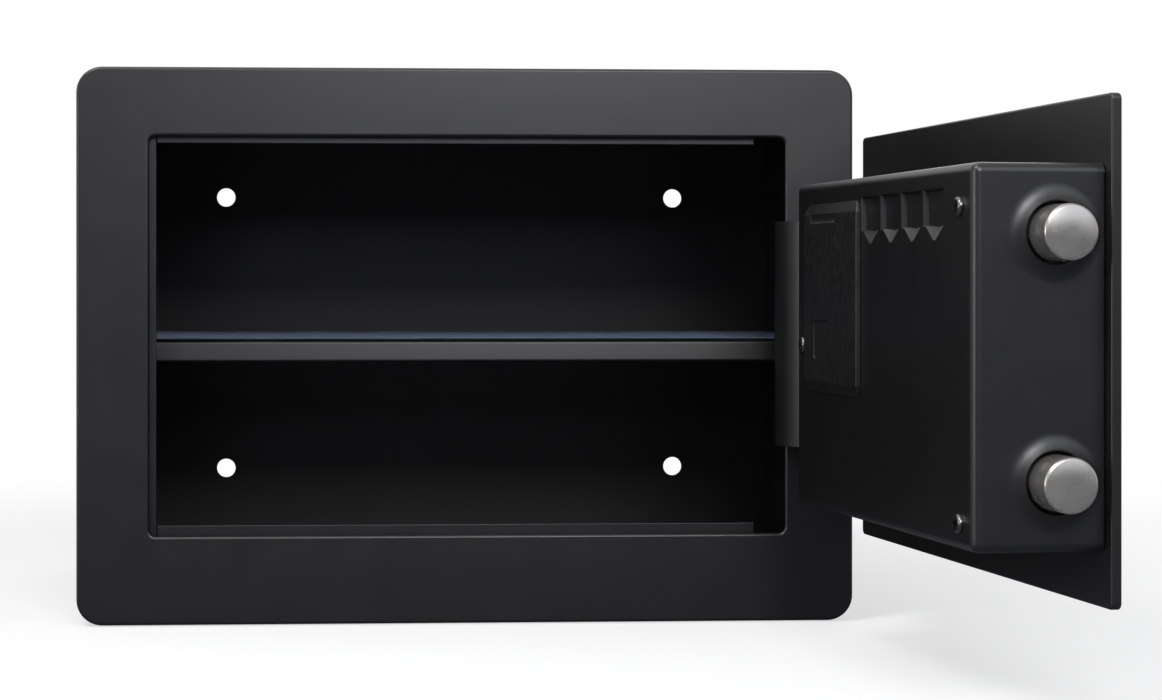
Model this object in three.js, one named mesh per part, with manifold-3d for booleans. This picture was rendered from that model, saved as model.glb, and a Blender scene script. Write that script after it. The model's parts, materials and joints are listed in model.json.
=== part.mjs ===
// Electronic safe with a side-hung door, shown open with its bolts thrown.
// Millimetres, +Z up. X runs to the right seen from the front and Y runs into the safe.
// The origin is the centre of the base.
import * as THREE from 'three';
import { mergeVertices } from 'three/addons/utils/BufferGeometryUtils.js';
import { RoundedBoxGeometry } from 'three/addons/geometries/RoundedBoxGeometry.js';
import Module from 'manifold-3d';

const wasm = await Module();
wasm.setup();

// Cabinet
const bodyWidth = 350;
const bodyHeight = 250;
const bodyDepth = 250;
const bodyWall = 2;
const bodyCorner = 11.5;
const frameRound = 1.4;
const frameBandLeft = 32.4;
const frameBandRight = 31;
const frameBandTop = 31;
const frameBandBottom = 39.8;
const openingCorner = 3;
const anchorHole = 10;
const anchorFromSide = 53.5;
const anchorFromEdge = 51.7;
const anchorRise = 1.6;

// Door stops behind the opening
const stopSheet = 1.5;
const stopGap = 0.5;
const stopReach = 2.9;
const stopReachBottom = 4.4;
const stopHeel = 12;
const stopEndGap = 13.6;

// Door and hinge
const doorThickness = 4;
const doorCorner = 2.4;
const doorGapFree = 0.7;
const doorGapHinge = 1.7;
const doorGapEdge = 0.5;
const doorEdgeRound = 0.4;
const openAngle = 96.6;
const pivotFromSide = 8.5;
const pivotFromFront = 12;
const pinRadius = 3;
const pinHead = 4.6;
const pinHeadThickness = 2;
const barrelRadius = 5;
const armSheet = 2.5;
const armInnerRadius = 25.5;
const armHeight = 102;
const armRise = 0.8;
const armSpokeAngle = 93;
const armArcStart = 105;
const armTab = 36;
const armSpokeBend = 4;
const armTabBend = 4;
const bracketSheet = 3;
const bracketReach = 8;
const bracketGap = 0.5;

// Shelf
const shelfFront = 58;
const shelfRise = 1.2;
const shelfSheet = 1.5;
const shelfLip = 10.3;
const shelfHem = 9;
const shelfBend = 1.4;
const shelfSideGap = 0.5;
const matThickness = 1.4;
const matSetback = 2.5;
const ledgeWidth = 16;
const ledgeSheet = 2;
const ledgeInset = 6;

// Lock box on the door
const boxWidth = 217.5;
const boxHeight = 134.5;
const boxDepth = 48;
const boxSheet = 1.2;
const boxRound = 3.4;
const boxInset = 5.2;
const boxDrop = 2.2;
const louvrePitch = 25;
const louvreWidth = 22;
const louvreFromLid = 0.5;
const louvreFromTop = 8.05;
const louvreHeight = 13;
const louvrePoint = 6.8;
const louvreDepth = 2.2;
const louvreDraft = 0.5;

// Bolt work
const boltRadius = 9.75;
const boltSpacing = 86;
const boltFromDoor = 18.4;
const boltReach = 16.5;
const boltThrow = 15.5;
const boltChamfer = 1.2;
const boltLength = 42;
const boltHoleGap = 1.2;
const spigotEnd = 0.6;
const barCorner = 3;
const tongueCorner = 2;
const spigotRadius = 4;
const barSheet = 3;
const barMargin = 12;
const tongueSheet = 2;
const tongueFromDoor = 7;
const tongueHeight = 20;
const tongueClear = 3.4;
const guideSheet = 2;
const guideSetback = 19.2;
const guideFoot = 17;
const guideFlange = 13;
const guideInward = 12;
const guideOutward = [20, 14];
const guideBend = 2.5;
const sideBracketWidth = 12;

// Knob and its cam
const knobPlaceAcross = 0.4078;
const knobBelowBolts = 8;
const knobRadius = 18;
const knobHeight = 18;
const knobGripWidth = 9;
const knobGripHeight = 11;
const knobCrown = 13;
const knobShoulder = 14;
const knobWaist = 15.1;
const knobEdge = 0.8;
const knobBoreWall = 4;
const spindleRadius = 4;
const camRadius = 15;
const camThickness = 3;
const camFromDoor = 3;
const camPinRadius = 2.5;
const camPinSlack = 0.75;
const camPinPast = 2;

// Solenoid
const solenoidFromKnob = 19.5;
const coilRadius = 10.5;
const coilLength = 24;
const plungerRadius = 4;
const plungerRest = 11;
const plungerLength = 34;
const solenoidSheet = 1.6;
const solenoidBridge = 13;
const solenoidSpan = 46;
const solenoidFoot = 9;
const solenoidWidth = 20;
const solenoidBend = 2;
const bobbinFlange = 2;
const bobbinStep = 1;
const plungerEdge = 0.8;

// Keypad panel on the outside of the door
const panelBesideKnob = 32;
const panelWidth = 152;
const panelHeight = 102;
const panelDepth = 12;
const panelWall = 2;
const panelCorner = 9;
const panelRound = 2;
const keyColumns = 3;
const keyRows = 4;
const keyPitchX = 18;
const keyPitchZ = 16;
const keyWidth = 13.5;
const keyHeight = 11.5;
const keyProud = 2.2;
const keyCorner = 2.5;
const keyFlange = 1;
const keyFlangeThickness = 1.2;
const keyFlangeCorner = 1.5;
const keyEdge = 0.6;
const keysFromKnob = 82;
const keyTravel = 1.2;
const keyboardSheet = 1.6;
const keyboardMargin = 6;
const keyboardCorner = 1.5;
const pegRadius = 2;
const lightWidth = 26;
const lightHeight = 5;
const lightAboveKeys = 11;
const lightProud = 0.6;

// Override key lock
const lockAboveKnob = 40;
const lockRadius = 8;
const lockLength = 28;
const lockEdge = 0.5;
const plugRadius = 5;
const lockCamLength = 15;
const lockCamWidth = 8;
const lockCamSheet = 2;
const keySlotWidth = 1.6;
const keySlotHeight = 7;
const keySlotDepth = 12;
const capRadius = 12;
const capThickness = 2.4;
const capEdge = 1.2;

// Batteries, their tray and lid, and the circuit board
const cellRadius = 7.1;
const cellLength = 50;
const cellNub = 2.6;
const cellNubLength = 1.4;
const cellEdge = 0.6;
const cellSpring = 1;
const cellCount = 4;
const cellPitch = 14.8;
const trayWall = 1.6;
const trayDepth = 18.5;
const trayEndRoom = 11;
const trayFlange = 3.2;
const trayFlangeThickness = 1.5;
const trayCorner = 0.8;
const trayInnerCorner = 0.5;
const trayFlangeCorner = 2;
const trayHoleCorner = 1;
const lidWidth = 72;
const lidHeight = 77;
const lidThickness = 1.8;
const lidCorner = 5;
const lidRound = 0.8;
const lidRim = 2.2;
const lidRimWall = 1.3;
const lidFromHinge = 17.5;
const lidFromTop = 9.05;
const lidRamp = 4.4;
const lidRampDrop = 1.3;
const lidGrooveRadius = 2.7;
const lidGrooveFromEdge = 28.3;
const lidGrooveLength = 34.4;
const lidGrooveDrop = 6.2;
const lidGrooveDepth = 0.7;
const trayDrop = 5.4;
const boardSheet = 1.6;
const boardWidth = 64;
const boardHeight = 84;
const boardFromTray = 5.5;
const resetRadius = 2;
const resetTravel = 1.2;
const resetProud = 2.5;
const ribbonWidth = 12;
const ribbonSheet = 0.8;
const ribbonDrop = 10;
const ribbonBend = 3;
const ribbonStraight = 6;
const ribbonSlotHeight = 4;
const ribbonSlotCorner = 1;

// Screws
const screwRadius = 1.7;
const screwHead = 3.4;
const screwHeadHeight = 1.6;
const screwLength = 9;
const screwFromFree = 13;
const screwFromHinge = 10.5;
const screwAbove = 52.3;
const screwBelow = 57.8;
const screwSlot = 0.7;
const screwCrown = 2;

// Clearances
const fitGap = 0.3;
const slideGap = 0.5;

// How far a cutter runs past what it cuts, and how deep a boss roots in its wall
const over = 1;
const root = 0.5;

// Bends wider than this get more steps
const wideBend = 10;

// Places worked out from the sizes
const frontY = -bodyDepth / 2;
const backY = bodyDepth / 2;
const sideX = bodyWidth / 2;
const innerX = sideX - bodyWall;
const behind = (depth) => frontY + depth;
const openLeft = -sideX + frameBandLeft;
const openRight = sideX - frameBandRight;
const openBottom = frameBandBottom;
const openTop = bodyHeight - frameBandTop;
const doorLeft = openLeft + doorGapFree;
const doorRight = openRight - doorGapHinge;
const doorBottom = openBottom + doorGapEdge;
const doorTop = openTop - doorGapEdge;
const doorInner = behind(doorThickness);
const doorCentreZ = (doorBottom + doorTop) / 2;
const pivotX = sideX - pivotFromSide;
const pivotY = behind(pivotFromFront);
const armBottom = doorCentreZ + armRise - armHeight / 2;
const armTop = armBottom + armHeight;
const anchorSpacingX = bodyWidth - 2 * anchorFromSide;
const anchorSpacingZ = bodyHeight - 2 * anchorFromEdge;
const anchorCentreZ = bodyHeight / 2 + anchorRise;
const shelfTop = bodyHeight / 2 + shelfRise;
const boxLeft = doorLeft + boxInset;
const boxRight = boxLeft + boxWidth;
const boxCentreZ = doorCentreZ - boxDrop;
const boxBottom = boxCentreZ - boxHeight / 2;
const boxTop = boxBottom + boxHeight;
const boxBase = doorInner + fitGap;
const boxFace = doorInner + boxDepth;
const boltY = doorInner + boltFromDoor;
const boltZs = [boxCentreZ - boltSpacing / 2, boxCentreZ + boltSpacing / 2];
const boltTip = boxLeft - boltReach;
const boltBack = boltTip + boltLength;
const knobX = boxLeft + knobPlaceAcross * boxWidth;
const knobZ = boxCentreZ - knobBelowBolts;
const solenoidX = knobX + solenoidFromKnob;
const tongueEnd = solenoidX - plungerRadius - tongueClear;
const camReach = boltThrow / Math.SQRT2;
const lidRight = boxRight - lidFromHinge;
const lidLeft = lidRight - lidWidth;
const lidTop = boxTop - lidFromTop;
const lidCentreX = (lidLeft + lidRight) / 2;
const lidBottom = lidTop - lidHeight;
const trayInnerWidth = cellPitch * cellCount;
const trayInnerHeight = cellLength + cellNubLength + trayEndRoom;
const trayLeft = lidCentreX - trayInnerWidth / 2 - trayWall;
const trayRight = lidCentreX + trayInnerWidth / 2 + trayWall;
const trayTop = lidTop - trayDrop;
const trayBottom = trayTop - trayInnerHeight - 2 * trayWall;
const trayRim = boxFace - fitGap;
const trayFloor = trayRim - trayDepth;
const boardBack = trayFloor - boardFromTray;
const boardFront = boardBack - boardSheet;
const louvreTop = boxTop - louvreFromTop;
const louvreFoot = louvreTop - louvreHeight;
const louvreTip = louvreFoot - louvrePoint;
const louvreRoom = lidLeft - louvreFromLid - boxLeft - guideSetback - guideSheet;
const louvreCount = Math.floor(louvreRoom / louvrePitch);
const panelLeft = knobX - panelBesideKnob;
const panelRight = panelLeft + panelWidth;
const keyGridX = knobX + keysFromKnob;
const panelBottom = doorCentreZ - panelHeight / 2;
const panelTop = panelBottom + panelHeight;
const panelBack = frontY - fitGap;
const panelFront = panelBack - panelDepth;
const lockZ = knobZ + lockAboveKnob;
const keySeat = panelFront + panelWall + fitGap;
const keyboardFront = keySeat + keyFlangeThickness + keyTravel + slideGap;
const keyGridWidth = (keyColumns - 1) * keyPitchX;
const keyGridHeight = (keyRows - 1) * keyPitchZ;
const keyGridZ = panelBottom + (panelHeight - lightAboveKeys) / 2;
const lightZ = keyGridZ + keyGridHeight / 2 + keyHeight / 2 + lightAboveKeys;

// Materials
function finish(color, roughness, metalness) {
  return new THREE.MeshStandardMaterial({ color, roughness, metalness });
}

const blackPaint = finish('#2a2c2e', 0.5, 0.1);
const zincSteel = finish('#9b9a96', 0.4, 0.9);
const boltSteel = finish('#b4b1ab', 0.3, 1);
const darkPlastic = finish('#1b1c1e', 0.55, 0);
const keyPlastic = finish('#c9cbcc', 0.5, 0);
const knobPlastic = finish('#3a3c3e', 0.4, 0.1);
const boardGreen = finish('#1f5a38', 0.5, 0);
const copperCoil = finish('#8a4b2a', 0.45, 0.4);
const cellSleeve = finish('#3c4a59', 0.35, 0.3);
const brass = finish('#b08d4a', 0.35, 1);
const redPlastic = finish('#b5251f', 0.45, 0);
const greenLens = finish('#3a7d4a', 0.2, 0);
const feltMat = finish('#4a535f', 0.95, 0);
const greyRibbon = finish('#9aa0a3', 0.6, 0);

// A closed geometry as a solid, its faces turned outwards
function solid(geometry) {
  const bare = geometry.clone();
  bare.deleteAttribute('normal');
  bare.deleteAttribute('uv');
  const merged = mergeVertices(bare, 1e-4);
  const index = merged.index.array;
  const points = merged.attributes.position.array;
  const triangles = [];
  let volume = 0;
  for (let i = 0; i < index.length; i += 3) {
    const [a, b, c] = [index[i], index[i + 1], index[i + 2]];
    if (a === b || b === c || c === a) continue;
    triangles.push(a, b, c);
    const [p, q, r] = [a, b, c].map((k) => new THREE.Vector3().fromArray(points, 3 * k));
    volume += p.dot(q.cross(r));
  }
  if (volume < 0) triangles.reverse();
  const mesh = new wasm.Mesh({
    numProp: 3,
    vertProperties: new Float32Array(points),
    triVerts: new Uint32Array(triangles),
  });
  return new wasm.Manifold(mesh);
}

const asSolid = (shape) => (shape.isBufferGeometry ? solid(shape) : shape);

function join(first, ...others) {
  return others.reduce((sum, next) => sum.add(asSolid(next)), asSolid(first));
}

function cut(first, ...others) {
  return others.reduce((rest, next) => rest.subtract(asSolid(next)), asSolid(first));
}

// A named mesh from a geometry or a solid
function piece(group, name, shape, material) {
  const mesh = asSolid(shape).getMesh();
  const geometry = new THREE.BufferGeometry();
  geometry.setAttribute('position', new THREE.BufferAttribute(mesh.vertProperties, 3));
  geometry.setIndex(new THREE.BufferAttribute(mesh.triVerts, 1));
  geometry.computeVertexNormals();
  const part = new THREE.Mesh(geometry, material);
  part.name = name;
  group.add(part);
  return part;
}

// Extrusions along each axis. The outline is drawn in the other two, in X, Y, Z order.
function extrude(shape, depth, options = {}) {
  return new THREE.ExtrudeGeometry(shape, { depth, bevelEnabled: false, curveSegments: 3, ...options });
}

function alongZ(shape, from, to, options) {
  return extrude(shape, to - from, options).translate(0, 0, from);
}

function alongY(shape, from, to, options) {
  return extrude(shape, to - from, options).rotateX(Math.PI / 2).translate(0, to, 0);
}

function alongX(shape, from, to, options) {
  const turn = new THREE.Matrix4().makeBasis(
    new THREE.Vector3(0, 1, 0),
    new THREE.Vector3(0, 0, 1),
    new THREE.Vector3(1, 0, 0),
  );
  return extrude(shape, to - from, options).applyMatrix4(turn).translate(from, 0, 0);
}

function block(x0, x1, y0, y1, z0, z1) {
  const box = new THREE.BoxGeometry(x1 - x0, y1 - y0, z1 - z0);
  return box.translate((x0 + x1) / 2, (y0 + y1) / 2, (z0 + z1) / 2);
}

// A rectangle between two corners, with all its corners rounded
function roundedRect(x0, y0, x1, y1, radius, PathType = THREE.Shape) {
  const path = new PathType();
  path.moveTo(x0 + radius, y0);
  path.lineTo(x1 - radius, y0);
  path.absarc(x1 - radius, y0 + radius, radius, -Math.PI / 2, 0);
  path.lineTo(x1, y1 - radius);
  path.absarc(x1 - radius, y1 - radius, radius, 0, Math.PI / 2);
  path.lineTo(x0 + radius, y1);
  path.absarc(x0 + radius, y1 - radius, radius, Math.PI / 2, Math.PI);
  path.lineTo(x0, y0 + radius);
  path.absarc(x0 + radius, y0 + radius, radius, Math.PI, 1.5 * Math.PI);
  return path;
}

function rectHole(x0, y0, x1, y1, radius) {
  return roundedRect(x0, y0, x1, y1, radius, THREE.Path);
}

function roundHole(x, y, radius, sides = 24) {
  const rim = new THREE.EllipseCurve(x, y, radius, radius, 0, 2 * Math.PI).getPoints(sides);
  return new THREE.Path(rim.slice(0, sides));
}

// The outline of a sheet bent along a line of corners, each with its own bend radius
function foldedStrip(corners, bends, thickness, steps = 4) {
  const points = corners.map(([x, y]) => new THREE.Vector2(x, y));
  const stations = [];
  const heading = (i) => points[i + 1].clone().sub(points[i]).normalize();
  const leftOf = (direction) => new THREE.Vector2(-direction.y, direction.x);
  stations.push([points[0], leftOf(heading(0))]);
  for (let i = 1; i < points.length - 1; i += 1) {
    const into = heading(i - 1);
    const out = heading(i);
    const turn = Math.atan2(into.cross(out), into.dot(out));
    const side = Math.sign(turn);
    const bend = bends[i - 1];
    const start = points[i].clone().addScaledVector(into, -bend * Math.tan(Math.abs(turn) / 2));
    const centre = start.clone().addScaledVector(leftOf(into), side * bend);
    const count = bend > wideBend ? 3 * steps : steps;
    for (let k = 0; k <= count; k += 1) {
      const normal = leftOf(into).rotateAround(new THREE.Vector2(), (turn * k) / count);
      stations.push([centre.clone().addScaledVector(normal, -side * bend), normal]);
    }
  }
  const last = points.length - 1;
  stations.push([points[last], leftOf(heading(last - 1))]);
  const offset = (amount) => stations.map(([at, normal]) => at.clone().addScaledVector(normal, amount));
  return new THREE.Shape([...offset(thickness / 2), ...offset(-thickness / 2).reverse()]);
}

// A turned shape. The profile is pairs of radius and height, from axis to axis.
function turned(profile, segments = 32) {
  return new THREE.LatheGeometry(profile.map(([radius, at]) => new THREE.Vector2(radius, at)), segments);
}

function rod(radius, from, to, chamfer = 0, segments = 24) {
  const profile = [[0, from], [radius - chamfer, from]];
  if (chamfer > 0) {
    profile.push([radius, from + chamfer], [radius, to - chamfer]);
  }
  profile.push([radius - chamfer, to], [0, to]);
  return turned(profile, segments);
}

const toX = (geometry, y, z) => geometry.rotateZ(-Math.PI / 2).translate(0, y, z);
const toY = (geometry, x, z) => geometry.translate(x, 0, z);
const toZ = (geometry, x, y) => geometry.rotateX(Math.PI / 2).translate(x, y, 0);
const drillX = (radius, from, to, y, z) => toX(rod(radius, from, to), y, z);
const drillY = (radius, from, to, x, z) => toY(rod(radius, from, to), x, z);

const safe = new THREE.Group();

// Cabinet: a wrapped sheet closed by a front frame and a back panel
function buildCabinet(group) {
  const wrap = roundedRect(-sideX, 0, sideX, bodyHeight, bodyCorner);
  wrap.holes.push(
    rectHole(-innerX, bodyWall, innerX, bodyHeight - bodyWall, bodyCorner - bodyWall),
  );
  piece(group, 'body_shell', alongY(wrap, behind(bodyWall), backY - bodyWall), blackPaint);

  const face = roundedRect(-sideX, 0, sideX, bodyHeight, bodyCorner);
  face.holes.push(rectHole(openLeft, openBottom, openRight, openTop, openingCorner));
  const bevel = {
    bevelEnabled: true,
    bevelThickness: frameRound,
    bevelSize: frameRound,
    bevelOffset: -frameRound,
    bevelSegments: 3,
  };
  const slab = alongY(face, behind(frameRound), behind(3 * bodyWall), bevel);
  const spare = block(-bodyWidth, bodyWidth, behind(bodyWall), 0, -bodyHeight, 2 * bodyHeight);
  piece(group, 'front_frame', cut(slab, spare), blackPaint);

  const back = roundedRect(-sideX, 0, sideX, bodyHeight, bodyCorner);
  for (const side of [-1, 1]) {
    for (const level of [-1, 1]) {
      const x = (side * anchorSpacingX) / 2;
      const z = anchorCentreZ + (level * anchorSpacingZ) / 2;
      back.holes.push(roundHole(x, z, anchorHole / 2));
    }
  }
  piece(group, 'back_panel', alongY(back, backY - bodyWall, backY), blackPaint);
}

// Door stops: folded strips welded behind the frame on three sides
function buildStops(group) {
  const middle = behind(doorThickness + stopGap + stopSheet / 2);
  const seat = behind(bodyWall);
  const bend = [stopSheet];
  const leftEdge = openLeft + stopReach;
  const stripStart = leftEdge + fitGap;
  const stripEnd = openRight - stopEndGap;
  const topEdge = openTop - stopReach;
  const bottomEdge = openBottom + stopReachBottom;
  const stripAcross = (edge, heel) => foldedStrip(
    [[middle, edge], [middle, heel], [seat, heel]],
    bend,
    stopSheet,
  );
  const topStrip = stripAcross(topEdge, topEdge + stopHeel);
  const bottomStrip = stripAcross(bottomEdge, bottomEdge - stopHeel);
  const leftStrip = foldedStrip(
    [[leftEdge, middle], [leftEdge - stopHeel, middle], [leftEdge - stopHeel, seat]],
    bend,
    stopSheet,
  );
  piece(group, 'stop_strip_top', alongX(topStrip, stripStart, stripEnd), blackPaint);
  piece(group, 'stop_strip_bottom', alongX(bottomStrip, stripStart, stripEnd), blackPaint);
  piece(group, 'stop_strip_left', alongZ(leftStrip, openBottom, openTop), blackPaint);
}

// Hinge seats: two brackets welded to the side wall, and the pin through them
function buildHingeSeats(group) {
  const seat = behind(bodyWall);
  const ear = new THREE.Shape();
  ear.moveTo(innerX, seat);
  ear.lineTo(innerX, pivotY + bracketReach);
  ear.lineTo(pivotX, pivotY + bracketReach);
  ear.absarc(pivotX, pivotY, bracketReach, Math.PI / 2, Math.PI);
  ear.lineTo(pivotX - bracketReach, seat);
  ear.holes.push(roundHole(pivotX, pivotY, pinRadius + fitGap));
  const lowerTop = armBottom - bracketGap;
  const upperBottom = armTop + bracketGap;
  const upperTop = upperBottom + bracketSheet;
  piece(group, 'hinge_bracket_lower', alongZ(ear, lowerTop - bracketSheet, lowerTop), blackPaint);
  piece(group, 'hinge_bracket_upper', alongZ(ear, upperBottom, upperTop), blackPaint);
  const headBase = upperTop + fitGap;
  const profile = [
    [0, lowerTop - 2 * bracketSheet],
    [pinRadius, lowerTop - 2 * bracketSheet],
    [pinRadius, headBase],
    [pinHead, headBase],
    [pinHead, headBase + pinHeadThickness / 2],
    [pinHead / 2, headBase + pinHeadThickness],
    [0, headBase + pinHeadThickness],
  ];
  piece(group, 'hinge_pin', toZ(turned(profile, 20), pivotX, pivotY), zincSteel);
}

// Shelf: a folded tray that lies on an angle ledge each side, with a felt mat on it
function buildShelf(group) {
  const top = shelfTop - shelfSheet / 2;
  const front = behind(shelfFront) + shelfSheet / 2;
  const foot = shelfTop - shelfLip + shelfSheet / 2;
  const shelfBack = backY - bodyWall - slideGap;
  const fold = foldedStrip(
    [[shelfBack, top], [front, top], [front, foot], [front + shelfHem, foot]],
    [shelfBend, shelfBend],
    shelfSheet,
  );
  const half = innerX - shelfSideGap;
  piece(group, 'shelf', alongX(fold, -half, half), blackPaint);
  const mat = block(
    -half + matSetback,
    half - matSetback,
    behind(shelfFront) + matSetback,
    shelfBack - matSetback,
    shelfTop,
    shelfTop + matThickness,
  );
  piece(group, 'shelf_mat', mat, feltMat);
  const ledgeTop = shelfTop - shelfSheet;
  const ledgeFront = behind(shelfFront) + shelfHem + ledgeInset;
  for (const [name, side] of [['shelf_ledge_left', -1], ['shelf_ledge_right', 1]]) {
    const flat = ledgeTop - ledgeSheet / 2;
    const wall = side * (innerX - ledgeSheet / 2);
    const angle = foldedStrip(
      [[side * (innerX - ledgeWidth), flat], [wall, flat], [wall, flat - ledgeWidth]],
      [ledgeSheet],
      ledgeSheet,
    );
    piece(group, name, alongY(angle, ledgeFront, shelfBack), blackPaint);
  }
}

// Door plate with its holes for the knob, the key lock and the keypad's cable
function buildDoorPlate(group) {
  const plate = roundedRect(
    doorLeft + doorEdgeRound,
    doorBottom + doorEdgeRound,
    doorRight - doorEdgeRound,
    doorTop - doorEdgeRound,
    doorCorner,
  );
  plate.holes.push(roundHole(knobX, knobZ, spindleRadius + fitGap + doorEdgeRound));
  plate.holes.push(roundHole(knobX, lockZ, lockRadius + fitGap + doorEdgeRound));
  const slotHalf = ribbonWidth / 2 + slideGap + doorEdgeRound;
  const slotZ = ribbonSlotZ();
  const slotRise = ribbonSlotHeight / 2;
  plate.holes.push(
    rectHole(
      keyGridX - slotHalf,
      slotZ - slotRise,
      keyGridX + slotHalf,
      slotZ + slotRise,
      ribbonSlotCorner,
    ),
  );
  const bevel = {
    bevelEnabled: true,
    bevelThickness: doorEdgeRound,
    bevelSize: doorEdgeRound,
    bevelSegments: 1,
  };
  const body = alongY(plate, frontY + doorEdgeRound, doorInner - doorEdgeRound, bevel);
  piece(group, 'door_plate', body, blackPaint);
}

function ribbonSlotZ() {
  return keyGridZ - keyGridHeight / 2;
}

// Hinge arm: a barrel on the pin and a strap that swings round the frame's edge to the door
function buildHingeArm(group) {
  const middle = armInnerRadius + armSheet / 2;
  const at = (angle, reach) => {
    const a = THREE.MathUtils.degToRad(angle);
    return [pivotX + reach * Math.cos(a), pivotY + reach * Math.sin(a)];
  };
  const rise = THREE.MathUtils.degToRad(armArcStart - armSpokeAngle);
  const half = THREE.MathUtils.degToRad((180 - armArcStart) / 2);
  const tabY = doorInner + fitGap + armSheet / 2;
  const corners = [
    [pivotX, pivotY],
    at(armSpokeAngle, middle / Math.cos(rise)),
    at((180 + armArcStart) / 2, middle / Math.cos(half)),
    [pivotX - middle, tabY],
    [pivotX - middle - armTab, tabY],
  ];
  const strap = foldedStrip(corners, [armSpokeBend, middle, armTabBend], armSheet, 5);
  const barrel = toZ(rod(barrelRadius, armBottom, armTop), pivotX, pivotY);
  const bore = toZ(rod(pinRadius + fitGap, armBottom - over, armTop + over), pivotX, pivotY);
  piece(group, 'hinge_arm', cut(join(alongZ(strap, armBottom, armTop), barrel), bore), blackPaint);
}

// One pocket pressed into the box face: a flat floor that rises to a point at its foot
function louvrePocket(left, grow) {
  const right = left + louvreWidth;
  const middle = (left + right) / 2;
  const floor = boxFace - louvreDepth - grow;
  const mouth = grow ? boxFace - boxSheet / 2 : boxFace + over;
  const spread = grow + (grow ? 0 : louvreDraft / 2);
  const outline = [
    [left - spread, louvreTop + spread],
    [right + spread, louvreTop + spread],
    [right + spread, louvreFoot - spread],
    [middle, louvreTip - spread],
    [left - spread, louvreFoot - spread],
  ];
  const sunk = [
    [left + louvreDraft - grow, louvreTop - louvreDraft + grow],
    [right - louvreDraft + grow, louvreTop - louvreDraft + grow],
    [right - louvreDraft + grow, louvreFoot + louvreDraft],
    [middle, louvreFoot - louvreDraft],
    [left + louvreDraft - grow, louvreFoot + louvreDraft],
  ];
  return loft(outline.map(([x, z]) => [x, mouth, z]), sunk.map(([x, z]) => [x, floor, z]));
}

// A solid between two outlines that have as many corners
function loft(front, back) {
  const count = front.length;
  const points = [...front, ...back].flat();
  const index = [];
  for (let i = 0; i < count; i += 1) {
    const next = (i + 1) % count;
    index.push(i, next, count + i, next, count + next, count + i);
  }
  for (let i = 1; i < count - 1; i += 1) {
    index.push(0, i + 1, i, count, count + i, count + i + 1);
  }
  const geometry = new THREE.BufferGeometry();
  geometry.setAttribute('position', new THREE.Float32BufferAttribute(points, 3));
  geometry.setIndex(index);
  return geometry;
}

// Lock box: one pressed sheet cover over the works, with bends all round its face
function buildLockBox(group) {
  const centreX = (boxLeft + boxRight) / 2;
  const hull = (wall, depth) => new RoundedBoxGeometry(
    boxWidth - 2 * wall,
    2 * (boxDepth - wall),
    boxHeight - 2 * wall,
    2,
    boxRound - wall,
  ).translate(centreX, depth, boxCentreZ);
  const outer = cut(
    hull(0, boxFace - boxDepth),
    block(boxLeft - over, boxRight + over, behind(-2 * boxDepth), boxBase, boxBottom - over, boxTop + over),
  );
  const inner = hull(boxSheet, boxFace - boxDepth);
  let shell = cut(outer, inner);
  for (let i = 0; i < louvreCount; i += 1) {
    const left = lidLeft - louvreFromLid - louvreWidth - i * louvrePitch;
    shell = cut(join(shell, louvrePocket(left, boxSheet)), louvrePocket(left, 0));
  }
  const trayHole = roundedRect(
    trayLeft - fitGap,
    trayBottom - fitGap,
    trayRight + fitGap,
    trayTop + fitGap,
    trayHoleCorner,
  );
  shell = cut(shell, alongY(trayHole, boxFace - 2 * boxSheet, boxFace + over));
  for (const z of boltZs) {
    shell = cut(shell, drillX(boltRadius + boltHoleGap, boxLeft - over, boxLeft + 2 * boxSheet, boltY, z));
  }
  for (const [x, z] of screwPlaces()) {
    shell = cut(shell, drillY(screwRadius + fitGap, boxFace - 2 * boxSheet, boxFace + over, x, z));
  }
  piece(group, 'lock_box', shell, blackPaint);
}

// Centres of the three screws that hold the lock box
function screwPlaces() {
  return [
    [boxLeft + screwFromFree, boxCentreZ + screwAbove],
    [boxLeft + screwFromFree, boxCentreZ - screwBelow],
    [boxRight - screwFromHinge, boxCentreZ],
  ];
}

// Screws with a shallow domed head and one slot
function buildBoxScrews(group) {
  const names = ['box_screw_upper', 'box_screw_lower', 'box_screw_side'];
  const seat = boxFace + fitGap / 2;
  screwPlaces().forEach(([x, z], i) => {
    const profile = [
      [0, seat - screwLength],
      [screwRadius, seat - screwLength],
      [screwRadius, seat],
      [screwHead, seat],
      [screwHead, seat + screwHeadHeight / 2],
      [screwCrown, seat + screwHeadHeight],
      [0, seat + screwHeadHeight],
    ];
    const slot = block(
      x - screwHead,
      x + screwHead,
      seat + screwHeadHeight / 2,
      seat + screwHeadHeight + over,
      z - screwSlot / 2,
      z + screwSlot / 2,
    );
    piece(group, names[i], cut(toY(turned(profile, 16), x, z), slot), zincSteel);
  });
}

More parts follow.
